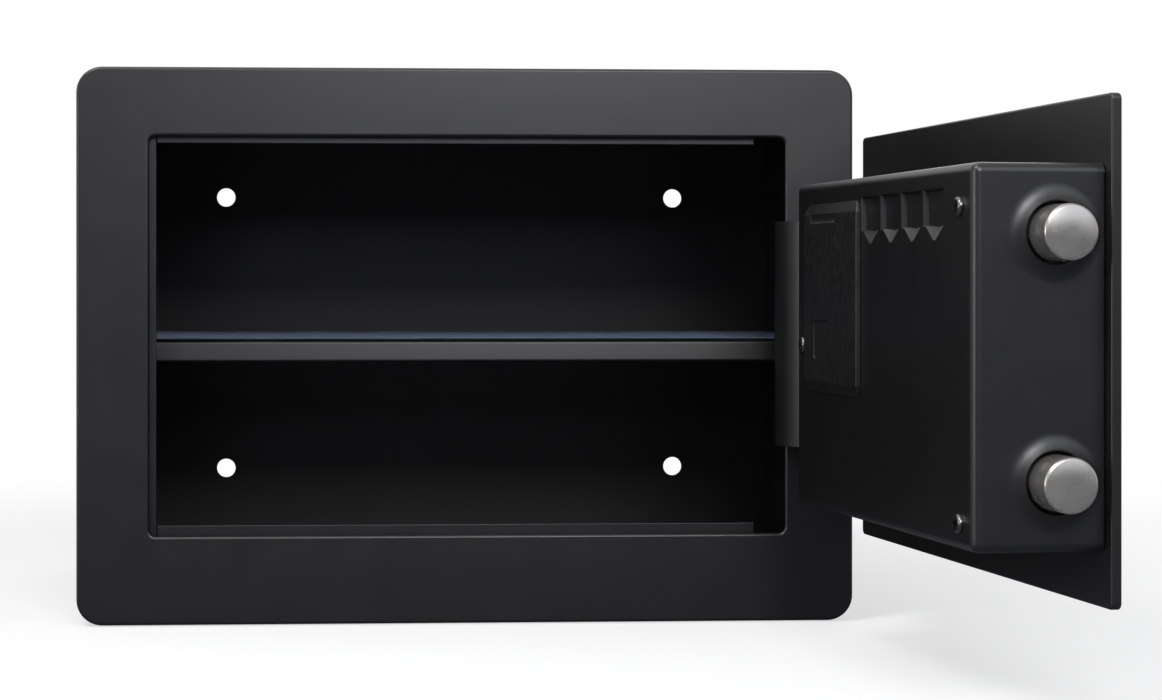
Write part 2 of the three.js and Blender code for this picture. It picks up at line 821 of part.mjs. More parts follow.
// Brackets on the door: two carry the bolts and the box face, and one carries the hinge side
function buildGuides(group) {
  const foot = doorInner + fitGap + guideSheet / 2;
  const flange = boxFace - boxSheet - fitGap - guideSheet / 2;
  const upright = boxLeft + guideSetback;
  const guide = foldedStrip(
    [[upright + guideFoot, foot], [upright, foot], [upright, flange], [upright - guideFlange, flange]],
    [guideBend, guideBend],
    guideSheet,
  );
  const names = ['bolt_guide_lower', 'bolt_guide_upper'];
  const screws = screwPlaces();
  boltZs.forEach((z, i) => {
    const low = i === 0 ? z - guideOutward[0] : z - guideInward;
    const high = i === 0 ? z + guideInward : z + guideOutward[1];
    const bracket = cut(
      alongZ(guide, low, high),
      drillX(boltRadius + fitGap, upright - guideSheet, upright + guideSheet, boltY, z),
      drillY(screwRadius + fitGap, flange - guideSheet, flange + guideSheet, ...screws[1 - i]),
    );
    piece(group, names[i], bracket, zincSteel);
  });
  const [screwX, screwZ] = screws[2];
  const half = sideBracketWidth / 2;
  const sideUpright = screwX - half;
  const sideBracket = foldedStrip(
    [
      [sideUpright - guideFoot, foot],
      [sideUpright, foot],
      [sideUpright, flange],
      [sideUpright + guideFlange, flange],
    ],
    [guideBend, guideBend],
    guideSheet,
  );
  const lug = cut(
    alongZ(sideBracket, screwZ - half, screwZ + half),
    drillY(screwRadius + fitGap, flange - guideSheet, flange + guideSheet, screwX, screwZ),
  );
  piece(group, 'box_bracket', lug, zincSteel);
}

// Bolt work: two round bolts riveted to a bar, whose tongue the knob's cam drives
function buildBoltWork(group) {
  const names = ['bolt_lower', 'bolt_upper'];
  boltZs.forEach((z, i) => {
    const profile = [
      [0, boltTip],
      [boltRadius - boltChamfer, boltTip],
      [boltRadius - boltChamfer / 3, boltTip + boltChamfer / 3],
      [boltRadius, boltTip + boltChamfer],
      [boltRadius, boltBack],
      [spigotRadius, boltBack],
      [spigotRadius, boltBack + barSheet + spigotEnd],
      [0, boltBack + barSheet + spigotEnd],
    ];
    piece(group, names[i], toX(turned(profile, 32), boltY, z), boltSteel);
  });
  const barFront = boltBack + fitGap;
  const tongueY = doorInner + tongueFromDoor;
  const barBottom = boltZs[0] - barMargin;
  const barTop = boltZs[1] + barMargin;
  const tongueBottom = knobZ;
  const plate = roundedRect(tongueY, barBottom, boltY + boltRadius, barTop, barCorner);
  for (const z of boltZs) {
    plate.holes.push(roundHole(boltY, z, spigotRadius + fitGap));
  }
  const slotX = knobX - camReach / Math.SQRT2;
  const slotHalf = camPinRadius + camPinSlack;
  const slotLow = knobZ + camReach / Math.SQRT2 - slotHalf;
  const slotHigh = knobZ + camReach + slotHalf;
  const tongue = roundedRect(barFront, tongueBottom, tongueEnd, tongueBottom + tongueHeight, tongueCorner);
  tongue.holes.push(rectHole(slotX - slotHalf, slotLow, slotX + slotHalf, slotHigh, slotHalf * 0.9));
  const bar = join(
    alongX(plate, barFront, barFront + barSheet),
    alongY(tongue, tongueY, tongueY + tongueSheet),
  );
  piece(group, 'bolt_bar', bar, zincSteel);
}

// Knob, its spindle through the door, and the cam whose pin drives the bar
function buildKnob(group) {
  const seat = panelFront - slideGap;
  const face = seat - knobHeight;
  const gripFoot = face + knobGripHeight;
  const profile = [
    [0, face],
    [knobCrown, face],
    [knobShoulder, face + knobShoulder - knobCrown],
    [knobWaist, gripFoot],
    [knobRadius, gripFoot + 2],
    [knobRadius, seat - knobEdge],
    [knobRadius - knobEdge, seat],
    [0, seat],
  ];
  let knob = solid(toY(turned(profile, 40), knobX, knobZ));
  for (const side of [-1, 1]) {
    const near = knobX + (side * knobGripWidth) / 2;
    const far = knobX + side * 2 * knobRadius;
    const low = knobZ - 2 * knobRadius;
    const [x0, x1] = [Math.min(near, far), Math.max(near, far)];
    knob = cut(knob, block(x0, x1, face - over, gripFoot, low, low + 4 * knobRadius));
  }
  const boreEnd = face + knobBoreWall;
  knob = cut(knob, drillY(spindleRadius + fitGap, boreEnd, seat + over, knobX, knobZ));
  piece(group, 'knob', knob, knobPlastic);

  const camFront = doorInner + camFromDoor;
  const camBack = camFront + camThickness;
  const spindle = toY(rod(spindleRadius, boreEnd + fitGap, camBack, lockEdge, 16), knobX, knobZ);
  piece(group, 'knob_spindle', spindle, zincSteel);

  const pinX = knobX - camReach / Math.SQRT2;
  const pinZ = knobZ + camReach / Math.SQRT2;
  const pinEnd = doorInner + tongueFromDoor + tongueSheet + camPinPast;
  const cam = cut(
    join(
      toY(rod(camRadius, camFront, camBack), knobX, knobZ),
      toY(rod(camPinRadius, camFront + over, pinEnd, 0, 16), pinX, pinZ),
    ),
    drillY(spindleRadius + fitGap, camFront - over, camBack + over, knobX, knobZ),
  );
  piece(group, 'knob_cam', cam, zincSteel);
}

// Solenoid on a bridge over the tongue. Its plunger drops behind the tongue to lock the bar.
function buildSolenoid(group) {
  const z = knobZ + tongueHeight / 2;
  const foot = doorInner + fitGap + solenoidSheet / 2;
  const bridge = doorInner + solenoidBridge;
  const half = solenoidSpan / 2;
  const hat = foldedStrip(
    [
      [foot, z - half - solenoidFoot],
      [foot, z - half],
      [bridge, z - half],
      [bridge, z + half],
      [foot, z + half],
      [foot, z + half + solenoidFoot],
    ],
    Array(4).fill(solenoidBend),
    solenoidSheet,
  );
  const hole = drillY(plungerRadius + fitGap, bridge - solenoidSheet, bridge + solenoidSheet, solenoidX, z);
  const frame = cut(alongX(hat, solenoidX - solenoidWidth / 2, solenoidX + solenoidWidth / 2), hole);
  piece(group, 'solenoid_frame', frame, zincSteel);
  const coilFront = bridge + solenoidSheet / 2 + fitGap;
  const coilBack = coilFront + coilLength;
  const bobbin = [
    [plungerRadius + fitGap, coilFront],
    [coilRadius, coilFront],
    [coilRadius, coilFront + bobbinFlange],
    [coilRadius - bobbinStep, coilFront + bobbinFlange],
    [coilRadius - bobbinStep, coilBack - bobbinFlange],
    [coilRadius, coilBack - bobbinFlange],
    [coilRadius, coilBack],
    [plungerRadius + fitGap, coilBack],
    [plungerRadius + fitGap, coilFront],
  ];
  piece(group, 'solenoid_coil', toY(turned(bobbin, 20), solenoidX, z), copperCoil);
}

function buildPlunger(group) {
  const z = knobZ + tongueHeight / 2;
  const tip = doorInner + plungerRest;
  const body = toY(rod(plungerRadius, tip, tip + plungerLength, plungerEdge, 16), solenoidX, z);
  piece(group, 'solenoid_plunger', body, zincSteel);
}

// Key centres, row by row from the top left
function keyPlaces() {
  const places = [];
  for (let row = 0; row < keyRows; row += 1) {
    for (let column = 0; column < keyColumns; column += 1) {
      const x = keyGridX - keyGridWidth / 2 + column * keyPitchX;
      const z = keyGridZ + keyGridHeight / 2 - row * keyPitchZ;
      places.push([x, z]);
    }
  }
  return places;
}

// Keypad panel: one moulded cover with holes for the keys, light, knob and key lock
function buildPanel(group) {
  const outline = roundedRect(
    panelLeft + panelRound,
    panelBottom + panelRound,
    panelRight - panelRound,
    panelTop - panelRound,
    panelCorner - panelRound,
  );
  const bevel = {
    bevelEnabled: true,
    bevelThickness: panelRound,
    bevelSize: panelRound,
    bevelSegments: 2,
  };
  const slab = alongY(outline, panelFront + panelRound, panelBack + panelRound, bevel);
  const rear = block(panelLeft - over, panelRight + over, panelBack, 0, panelBottom - over, panelTop + over);
  const hollow = roundedRect(
    panelLeft + panelWall,
    panelBottom + panelWall,
    panelRight - panelWall,
    panelTop - panelWall,
    panelCorner - panelWall,
  );
  const wallBack = panelFront + panelWall;
  let panel = cut(slab, rear, alongY(hollow, wallBack, panelBack + over));
  for (const [x, z] of keyPlaces()) {
    const hole = roundedRect(
      x - keyWidth / 2 - fitGap,
      z - keyHeight / 2 - fitGap,
      x + keyWidth / 2 + fitGap,
      z + keyHeight / 2 + fitGap,
      keyCorner,
    );
    panel = cut(panel, alongY(hole, panelFront - over, wallBack + over, { curveSegments: 1 }));
  }
  for (const [x, z] of keyboardPegs()) {
    panel = join(panel, toY(rod(pegRadius, wallBack - root, keyboardFront - fitGap, 0, 10), x, z));
  }
  const lens = roundedRect(
    keyGridX - lightWidth / 2 - fitGap,
    lightZ - lightHeight / 2 - fitGap,
    keyGridX + lightWidth / 2 + fitGap,
    lightZ + lightHeight / 2 + fitGap,
    lightHeight / 2,
  );
  panel = cut(
    panel,
    alongY(lens, panelFront - over, wallBack + over),
    drillY(spindleRadius + fitGap, panelFront - over, wallBack + over, knobX, knobZ),
    drillY(lockRadius + fitGap, panelFront - over, wallBack + over, knobX, lockZ),
  );
  piece(group, 'keypad_panel', panel, darkPlastic);

  const glow = roundedRect(
    keyGridX - lightWidth / 2,
    lightZ - lightHeight / 2,
    keyGridX + lightWidth / 2,
    lightZ + lightHeight / 2,
    lightHeight / 2 - fitGap,
  );
  piece(group, 'indicator_light', alongY(glow, panelFront - lightProud, keyboardFront - fitGap), greenLens);
}

// Pegs at the corners of the keypad's circuit board, which they hold
function keyboardPegs() {
  const reachX = keyGridWidth / 2 + keyPitchX / 2 + keyFlange + pegRadius;
  const reachZ = keyGridHeight / 2;
  return [[-1, -1], [1, -1], [-1, 1], [1, 1]].map(([a, b]) => [keyGridX + a * reachX, keyGridZ + b * reachZ]);
}

function buildKeyboard(group) {
  const halfX = keyGridWidth / 2 + keyPitchX / 2 + keyFlange + 2 * pegRadius;
  const low = keyGridZ - keyGridHeight / 2 - keyboardMargin;
  const high = lightZ + lightHeight;
  const board = roundedRect(keyGridX - halfX, low, keyGridX + halfX, high, keyboardCorner);
  piece(group, 'keypad_board', alongY(board, keyboardFront, keyboardFront + keyboardSheet), boardGreen);
}

// Keys: a cap through the panel and a flange behind it that stops it coming out
function buildKeys(group) {
  const names = ['1', '2', '3', '4', '5', '6', '7', '8', '9', 'star', '0', 'hash'];
  const cap = roundedRect(
    -keyWidth / 2 + keyEdge,
    -keyHeight / 2 + keyEdge,
    keyWidth / 2 - keyEdge,
    keyHeight / 2 - keyEdge,
    keyCorner - keyEdge,
  );
  const crown = {
    bevelEnabled: true,
    bevelThickness: keyEdge,
    bevelSize: keyEdge,
    bevelSegments: 1,
    curveSegments: 1,
  };
  const stem = alongY(cap, panelFront - keyProud + keyEdge, keySeat, crown);
  const flange = roundedRect(
    -keyWidth / 2 - keyFlange,
    -keyHeight / 2 - keyFlange,
    keyWidth / 2 + keyFlange,
    keyHeight / 2 + keyFlange,
    keyFlangeCorner,
  );
  const foot = alongY(flange, keySeat, keySeat + keyFlangeThickness, { curveSegments: 1 });
  const key = join(stem, foot);
  keyPlaces().forEach(([x, z], i) => {
    piece(group, `key_${names[i]}`, key, keyPlastic).position.set(x, 0, z);
  });
}

// Override key lock: a body through panel and door, a plug that turns in it, and its cam
function buildLock(group) {
  const front = panelFront + fitGap;
  const back = front + lockLength;
  const body = [
    [plugRadius + fitGap, front],
    [lockRadius - lockEdge, front],
    [lockRadius, front + lockEdge],
    [lockRadius, back],
    [plugRadius + fitGap, back],
    [plugRadius + fitGap, front],
  ];
  piece(group, 'override_lock_body', toY(turned(body, 24), knobX, lockZ), zincSteel);
}

function buildLockPlug(group) {
  const front = panelFront + fitGap;
  const back = front + lockLength;
  const tail = back + fitGap + lockCamSheet + fitGap;
  const slot = block(
    knobX - keySlotWidth / 2,
    knobX + keySlotWidth / 2,
    front - over,
    front + keySlotDepth,
    lockZ - keySlotHeight / 2,
    lockZ + keySlotHeight / 2,
  );
  const plug = join(
    toY(rod(plugRadius, front, back, lockEdge, 20), knobX, lockZ),
    toY(rod(plugRadius / 2, back - over, tail, 0, 16), knobX, lockZ),
  );
  piece(group, 'override_plug', cut(plug, slot), brass);
  const blade = roundedRect(
    knobX - lockCamWidth / 2,
    lockZ - lockCamLength,
    knobX + lockCamWidth / 2,
    lockZ + lockCamWidth / 2,
    lockCamWidth / 2 - lockEdge,
  );
  blade.holes.push(roundHole(knobX, lockZ, plugRadius / 2 + fitGap));
  piece(group, 'override_cam', alongY(blade, back + fitGap, back + fitGap + lockCamSheet), zincSteel);
}

// The cap that hides the key lock and pulls straight off
function buildLockCap(group) {
  const seat = panelFront - fitGap / 2;
  const profile = [
    [0, seat - capThickness],
    [capRadius - capEdge, seat - capThickness],
    [capRadius, seat - capThickness + capEdge],
    [capRadius, seat],
    [0, seat],
  ];
  piece(group, 'keyhole_cap', toY(turned(profile, 32), knobX, lockZ), darkPlastic);
}

// Battery tray in the box face, with pegs behind it for the circuit board
function buildTray(group) {
  const outer = roundedRect(trayLeft, trayBottom, trayRight, trayTop, trayCorner);
  const inner = roundedRect(
    trayLeft + trayWall,
    trayBottom + trayWall,
    trayRight - trayWall,
    trayTop - trayWall,
    trayInnerCorner,
  );
  const flange = roundedRect(
    trayLeft - trayFlange,
    trayBottom - trayFlange,
    trayRight + trayFlange,
    trayTop + trayFlange,
    trayFlangeCorner,
  );
  const flangeBack = boxFace - boxSheet - fitGap;
  let tray = join(
    alongY(outer, trayFloor, trayRim),
    alongY(flange, flangeBack - trayFlangeThickness, flangeBack),
  );
  tray = cut(tray, alongY(inner, trayFloor + trayWall, trayRim + over));
  tray = cut(tray, drillY(resetRadius + fitGap, trayFloor - over, trayFloor + 2 * trayWall, ...resetPlace()));
  for (const [x, z] of boardPegs()) {
    tray = join(tray, toY(rod(pegRadius, boardBack + fitGap, trayFloor + root, 0, 10), x, z));
  }
  piece(group, 'battery_tray', tray, darkPlastic);
}

function boardPegs() {
  const centreZ = (trayTop + trayBottom) / 2;
  const reachX = boardWidth / 2 - 2 * pegRadius;
  const reachZ = (trayTop - trayBottom) / 2 - 2 * pegRadius;
  return [[-1, -1], [1, -1], [-1, 1], [1, 1]].map(([a, b]) => [lidCentreX + a * reachX, centreZ + b * reachZ]);
}

function resetPlace() {
  return [lidCentreX, trayBottom + trayWall + trayEndRoom / 2 - 1];
}

function buildBoard(group) {
  const centreZ = (trayTop + trayBottom) / 2 - ribbonDrop / 2;
  const sheet = block(
    lidCentreX - boardWidth / 2,
    lidCentreX + boardWidth / 2,
    boardFront,
    boardBack,
    centreZ - boardHeight / 2,
    centreZ + boardHeight / 2,
  );
  const chip = (x, z, width, height, tall) => block(
    lidCentreX + x - width / 2,
    lidCentreX + x + width / 2,
    boardFront - tall,
    boardFront + root,
    centreZ + z - height / 2,
    centreZ + z + height / 2,
  );
  const board = join(sheet, chip(-12, 20, 14, 10, 2), chip(10, 22, 8, 8, 5), chip(-8, -4, 18, 7, 3));
  piece(group, 'circuit_board', board, boardGreen);
}

function buildCells(group) {
  const low = trayTop - trayWall - cellNubLength - cellLength - cellSpring;
  const cellY = trayFloor + trayWall + fitGap + cellRadius;
  for (let i = 0; i < cellCount; i += 1) {
    const x = lidCentreX + (i - (cellCount - 1) / 2) * cellPitch;
    const profile = [
      [0, 0],
      [cellRadius - cellEdge, 0],
      [cellRadius, cellEdge],
      [cellRadius, cellLength - cellEdge],
      [cellRadius - cellEdge, cellLength],
      [cellNub, cellLength],
      [cellNub, cellLength + cellNubLength],
      [0, cellLength + cellNubLength],
    ];
    const cell = turned(profile, 16).rotateX(Math.PI / 2);
    if (i % 2 === 1) {
      cell.rotateX(Math.PI).translate(0, 0, cellLength + cellNubLength);
    }
    piece(group, `battery_cell_${i + 1}`, cell.translate(x, cellY, low), cellSleeve);
  }
}

// Battery lid: a rim inside the tray, sloping ends and a half-round groove for a fingernail
function buildLid(group) {
  const outline = roundedRect(
    lidLeft + lidRound,
    lidBottom + lidRound,
    lidRight - lidRound,
    lidTop - lidRound,
    lidCorner - lidRound,
  );
  const bevel = {
    bevelEnabled: true,
    bevelThickness: lidRound,
    bevelSize: lidRound,
    bevelSegments: 2,
  };
  const seat = boxFace + fitGap / 2;
  const slab = alongY(outline, seat - lidRound, seat + lidThickness - lidRound, bevel);
  const under = block(
    lidLeft - over,
    lidRight + over,
    seat - 2 * lidRound - over,
    seat,
    lidBottom - over,
    lidTop + over,
  );
  const ring = (inset) => roundedRect(
    trayLeft + trayWall + fitGap + inset,
    trayBottom + trayWall + fitGap + inset,
    trayRight - trayWall - fitGap - inset,
    trayTop - trayWall - fitGap - inset,
    0.5,
  );
  const rim = ring(0);
  rim.holes.push(ring(lidRimWall));
  const face = seat + lidThickness;
  const slope = lidRampDrop / lidRamp;
  const wedge = (edge, inward) => new THREE.Shape([
    new THREE.Vector2(face, edge + inward * lidRamp),
    new THREE.Vector2(face + over, edge + inward * lidRamp),
    new THREE.Vector2(face + over, edge - inward * over),
    new THREE.Vector2(face - lidRampDrop - slope * over, edge - inward * over),
  ]);
  const ramps = [wedge(lidTop, -1), wedge(lidBottom, 1)];
  const grooveLeft = lidLeft + lidGrooveFromEdge;
  const groove = drillX(
    lidGrooveRadius,
    grooveLeft,
    grooveLeft + lidGrooveLength,
    face - lidGrooveDepth + lidGrooveRadius,
    lidTop - lidGrooveDrop,
  );
  const top = cut(
    slab,
    under,
    ...ramps.map((ramp) => alongX(ramp, lidLeft - over, lidRight + over)),
    groove,
  );
  piece(group, 'battery_lid', join(top, alongY(rim, seat - lidRim, seat + root)), darkPlastic);
}

function buildReset(group) {
  const [x, z] = resetPlace();
  const end = trayFloor + trayWall + resetProud;
  const foot = boardBack + resetTravel + fitGap;
  piece(group, 'reset_button', toY(rod(resetRadius, foot, end, resetRadius / 5, 16), x, z), redPlastic);
}

// Flat cable from the keypad through the door to the circuit board
function buildRibbon(group) {
  const z = ribbonSlotZ();
  const start = keyboardFront + keyboardSheet + fitGap;
  const end = boardFront - fitGap;
  const ribbon = foldedStrip(
    [
      [start, z],
      [doorInner + ribbonStraight, z],
      [end - ribbonStraight, z + ribbonDrop],
      [end, z + ribbonDrop],
    ],
    [ribbonBend, ribbonBend],
    ribbonSheet,
  );
  const cable = alongX(ribbon, keyGridX - ribbonWidth / 2, keyGridX + ribbonWidth / 2);
  piece(group, 'keypad_cable', cable, greyRibbon);
}

// The door's pieces are drawn closed and turned open about the hinge pin as one group
const hinge = new THREE.Group();
hinge.position.set(pivotX, pivotY, 0);
hinge.rotation.z = THREE.MathUtils.degToRad(openAngle);
const door = new THREE.Group();
door.position.set(-pivotX, -pivotY, 0);
hinge.add(door);
safe.add(hinge);

for (const build of [buildCabinet, buildStops, buildHingeSeats, buildShelf]) {
  build(safe);
}
const doorBuilders = [
  buildDoorPlate,
  buildHingeArm,
  buildLockBox,
  buildBoxScrews,
  buildGuides,
  buildBoltWork,
  buildKnob,
  buildSolenoid,
  buildPlunger,
  buildPanel,
  buildKeyboard,
  buildKeys,
  buildLock,
  buildLockPlug,
  buildLockCap,
  buildTray,
  buildBoard,
  buildCells,
  buildLid,
  buildReset,
  buildRibbon,
];
for (const build of doorBuilders) {
  build(door);
}

export default safe;
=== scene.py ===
# %% [markdown]
# # A small electronic safe, open, in a studio
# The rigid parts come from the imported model, already in place and in metres. This notebook
# dresses them: it gives every surface its finish, and models the pieces that need softer
# bends, finer edges or moulded detail than plain solids have.

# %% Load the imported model
import json
import math

import bmesh
import bpy
from mathutils import Matrix, Vector


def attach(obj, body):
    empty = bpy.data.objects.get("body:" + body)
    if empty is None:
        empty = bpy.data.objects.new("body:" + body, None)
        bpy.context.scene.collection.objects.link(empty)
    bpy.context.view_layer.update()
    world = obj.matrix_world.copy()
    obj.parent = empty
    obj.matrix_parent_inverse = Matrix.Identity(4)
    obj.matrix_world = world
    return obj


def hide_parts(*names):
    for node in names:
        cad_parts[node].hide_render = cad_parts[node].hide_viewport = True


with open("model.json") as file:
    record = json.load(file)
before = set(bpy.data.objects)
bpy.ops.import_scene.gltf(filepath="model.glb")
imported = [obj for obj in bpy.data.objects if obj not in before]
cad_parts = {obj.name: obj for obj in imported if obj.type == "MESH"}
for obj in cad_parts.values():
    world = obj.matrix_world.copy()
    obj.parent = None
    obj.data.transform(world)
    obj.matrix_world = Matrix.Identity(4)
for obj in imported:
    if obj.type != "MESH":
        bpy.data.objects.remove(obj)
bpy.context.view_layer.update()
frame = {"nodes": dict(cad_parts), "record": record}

MM = 0.001
print("CAD nodes:", len(frame["nodes"]))

# %% [markdown]
# ## The camera
# The photograph was taken almost square on to the front, from a little left of the middle
# and at half the safe's height. The lens is long. The object stands left of the middle of
# the picture, so the lens is shifted a little and the camera isn't turned for that.

# %% Camera
LENS_MM = 81.228
SENSOR_MM = 36.0
SHIFT_X, SHIFT_Y = 0.05, -0.05
CAMERA_PLACE = Vector((-45.1, -1305.0, 151.76)) * MM
CAMERA_YAW = math.radians(3.393)
CAMERA_PITCH = math.radians(-0.123)

camera_data = bpy.data.cameras.new("studio_camera")
camera_data.lens = LENS_MM
camera_data.sensor_width = SENSOR_MM
camera_data.shift_x = SHIFT_X
camera_data.shift_y = SHIFT_Y
camera = bpy.data.objects.new("studio_camera", camera_data)
bpy.context.scene.collection.objects.link(camera)
camera.location = CAMERA_PLACE
camera.rotation_euler = (math.pi / 2 + CAMERA_PITCH, 0, -CAMERA_YAW)
bpy.context.scene.camera = camera
print("camera stands", round(-CAMERA_PLACE.y, 3), "m from the safe's middle")

# %% [markdown]
# ## Colours as they are written
# Paint colours are read off a screen in sRGB, but Blender's sockets hold linear light, so
# a small helper turns one into the other. The Standard view transform then shows a colour
# about as it is written.

# %% Colour helper and view transform
bpy.context.scene.view_settings.view_transform = "Standard"


def srgb(red, green, blue):
    """A screen colour from 0 to 255 as a linear colour with full alpha."""
    channels = [channel / 255 for channel in (red, green, blue)]
    linear = [c / 12.92 if c <= 0.04045 else ((c + 0.055) / 1.055) ** 2.4 for c in channels]
    return (*linear, 1.0)


# %% [markdown]
# ## Trees of nodes
# The world, the floor and every finish are small trees of nodes. `Tree` has short ways to
# add nodes and to join them. `Finish` is a material's tree, and its patterns use Object
# coordinates, so a pattern stays with its piece.

# %% Node and material helpers
class Tree:
    """A tree of nodes, with short ways to add and join them."""

    def __init__(self, owner):
        owner.use_nodes = True
        self.nodes = owner.node_tree.nodes
        self.links = owner.node_tree.links

    def node(self, kind, **settings):
        node = self.nodes.new(kind)
        for name, value in settings.items():
            setattr(node, name, value)
        return node

    def feed(self, socket, value):
        """Gives a socket a value, or links another socket to it."""
        if isinstance(value, bpy.types.NodeSocket):
            self.links.new(value, socket)
        else:
            socket.default_value = value

    def remap(self, value, low, high, start=0.3, end=0.7, curve="LINEAR"):
        """A value moved from one range into another."""
        node = self.node("ShaderNodeMapRange", interpolation_type=curve)
        self.feed(node.inputs["Value"], value)
        self.feed(node.inputs["From Min"], start)
        self.feed(node.inputs["From Max"], end)
        self.feed(node.inputs["To Min"], low)
        self.feed(node.inputs["To Max"], high)
        return node.outputs["Result"]

    def maths(self, operation, first, second):
        node = self.node("ShaderNodeMath", operation=operation)
        self.feed(node.inputs[0], first)
        self.feed(node.inputs[1], second)
        return node.outputs["Value"]

    def is_seen(self, path):
        """One where the camera looks, straight or through something clear."""
        return self.maths("MAXIMUM", path["Is Camera Ray"], path["Is Transmission Ray"])

    def mix_shaders(self, factor, first, second):
        node = self.node("ShaderNodeMixShader")
        self.feed(node.inputs["Fac"], factor)
        self.feed(node.inputs[1], first)
        self.feed(node.inputs[2], second)
        return node.outputs["Shader"]


class Finish(Tree):
    """A material's tree, with patterns and its main shader."""

    def __init__(self, name, colour, roughness, metallic=0.0):
        self.material = bpy.data.materials.new(name)
        super().__init__(self.material)
        self.shader = self.nodes["Principled BSDF"]
        self.set("Base Color", colour)
        self.set("Roughness", roughness)
        self.set("Metallic", metallic)
        self.place = self.node("ShaderNodeTexCoord").outputs["Object"]

    def set(self, socket, value):
        self.feed(self.shader.inputs[socket], value)

    def noise(self, scale, detail=2.0, stretch=(1, 1, 1)):
        """A noise pattern, stretched along the axes where that is asked."""
        mapping = self.node("ShaderNodeMapping")
        noise = self.node("ShaderNodeTexNoise")
        self.feed(mapping.inputs["Scale"], stretch)
        self.feed(mapping.inputs["Vector"], self.place)
        self.feed(noise.inputs["Scale"], scale)
        self.feed(noise.inputs["Detail"], detail)
        self.feed(noise.inputs["Vector"], mapping.outputs["Vector"])
        return noise.outputs["Fac"]

    def blend(self, factor, first, second):
        """Two colours mixed by a pattern. The sockets of a colour mix are 0, 6 and 7."""
        mix = self.node("ShaderNodeMix", data_type="RGBA")
        self.feed(mix.inputs[0], factor)
        self.feed(mix.inputs[6], first)
        self.feed(mix.inputs[7], second)
        return mix.outputs[2]

    def colour(self, factor, first, second):
        self.set("Base Color", self.blend(factor, first, second))

    def roughen(self, value, low, high):
        self.set("Roughness", self.remap(value, low, high))

    def bump(self, height, strength, distance):
        """Fine relief, laid over what is there already. The distance is in metres."""
        node = self.node("ShaderNodeBump")
        self.feed(node.inputs["Strength"], strength)
        self.feed(node.inputs["Distance"], distance)
        self.feed(node.inputs["Height"], height)
        previous = self.shader.inputs["Normal"].links
        if previous:
            self.feed(node.inputs["Normal"], previous[0].from_socket)
        self.set("Normal", node.outputs["Normal"])


# %% [markdown]
# ## The studio
# A pale floor and soft lamps. Metal mirrors a bright surround, and the paint takes its
# shade from the lamps. A real studio is dark where the photographer stands, so the surround
# that gloss mirrors fades to dark on that side. That is why the inside of the safe, which
# mirrors the same side, stays black.

# %% World
WHITE = srgb(255, 255, 255)
SEEN_STRENGTH = 1.0
AMBIENT_STRENGTH = 0.2
MIRRORED_STRENGTH = 0.85
DARK_SIDE, PALE_SIDE = -0.95, -0.45
DARKEST = 0.06

world = bpy.data.worlds.new("studio")
bpy.context.scene.world = world
sky = Tree(world)
sky.nodes.clear()


def background(colour, strength):
    """A Background shader with its own colour and strength."""
    node = sky.node("ShaderNodeBackground")
    sky.feed(node.inputs["Color"], colour)
    sky.feed(node.inputs["Strength"], strength)
    return node.outputs["Background"]


direction = sky.node("ShaderNodeTexCoord")
split = sky.node("ShaderNodeSeparateXYZ")
sky.feed(split.inputs["Vector"], direction.outputs["Generated"])
fade = sky.remap(split.outputs["Y"], DARKEST, 1, DARK_SIDE, PALE_SIDE, "SMOOTHSTEP")
ambient = background(srgb(242, 243, 245), AMBIENT_STRENGTH)
mirrored = background(fade, MIRRORED_STRENGTH)
seen = background(WHITE, SEEN_STRENGTH)
path = sky.node("ShaderNodeLightPath").outputs
surround = sky.mix_shaders(path["Is Glossy Ray"], ambient, mirrored)
shown = sky.mix_shaders(sky.is_seen(path), surround, seen)
sky.feed(sky.node("ShaderNodeOutputWorld").inputs["Surface"], shown)

# %% [markdown]
# One wide softbox hangs above and behind the camera, with its lower edge a few degrees
# above the lens. The face of the safe mirrors that edge softly, so it is lighter above than
# below, and the box is faintly blue, as the light on the photographed paint is. A small
# bright centre in front of it makes the sheen in the middle of the frame's upper band. A key
# lamp high on the left lights the bolts and the swollen sheet round them, and a low narrow
# strip on the left lights the sides of the bolts. Weaker lamps above and behind draw the
# edges.

# %% Lamps
def softbox(name, place, target, width, height, radiance, tint=(1, 1, 1)):
    """A soft lamp that faces a target point. Its radiance fixes how bright it looks."""
    lamp = bpy.data.lights.new(name, "AREA")
    lamp.shape = "RECTANGLE"
    lamp.size = width
    lamp.size_y = height
    lamp.energy = radiance * math.pi * width * height
    lamp.color = tint
    holder = bpy.data.objects.new(name, lamp)
    bpy.context.scene.collection.objects.link(holder)
    holder.location = place
    aim = Vector(target) - Vector(place)
    holder.rotation_euler = aim.to_track_quat("-Z", "Y").to_euler()


FAINT_BLUE = (0.94, 0.98, 1.07)
LAMPS = [
    ("front_softbox", (0.4, -1.4, 0.8), (0.1, -0.1, 0.12), 1.8, 0.95, 1.5, FAINT_BLUE),
    ("softbox_centre", (0.15, -1.38, 0.72), (0.15, -0.3, 0.15), 0.35, 0.35, 19.0),
    ("left_key", (-0.7, -0.95, 1.45), (0.1, -0.2, 0.12), 0.5, 0.5, 20.0),
    ("top_softbox", (-0.2, 0.1, 1.7), (0.0, 0.0, 0.2), 1.2, 1.2, 1.2),
    ("back_softbox", (0.8, 1.4, 0.9), (0.0, 0.0, 0.12), 0.9, 0.9, 2.0),
    ("left_strip", (-1.1, -0.9, 0.3), (0.2, -0.4, 0.16), 0.2, 0.5, 13.0),
]
for lamp_settings in LAMPS:
    softbox(*lamp_settings)
print("lamps:", len(LAMPS))

# %% [markdown]
# ## The floor
# One wide plane just under the safe, pale and matt, which keeps the soft shadow. What the
# camera sees of it is more than half pure white, and farther out it fades to the white of
# the background. Gloss mirrors it darker than it is, because the photographed safe mirrors
# little of its table.

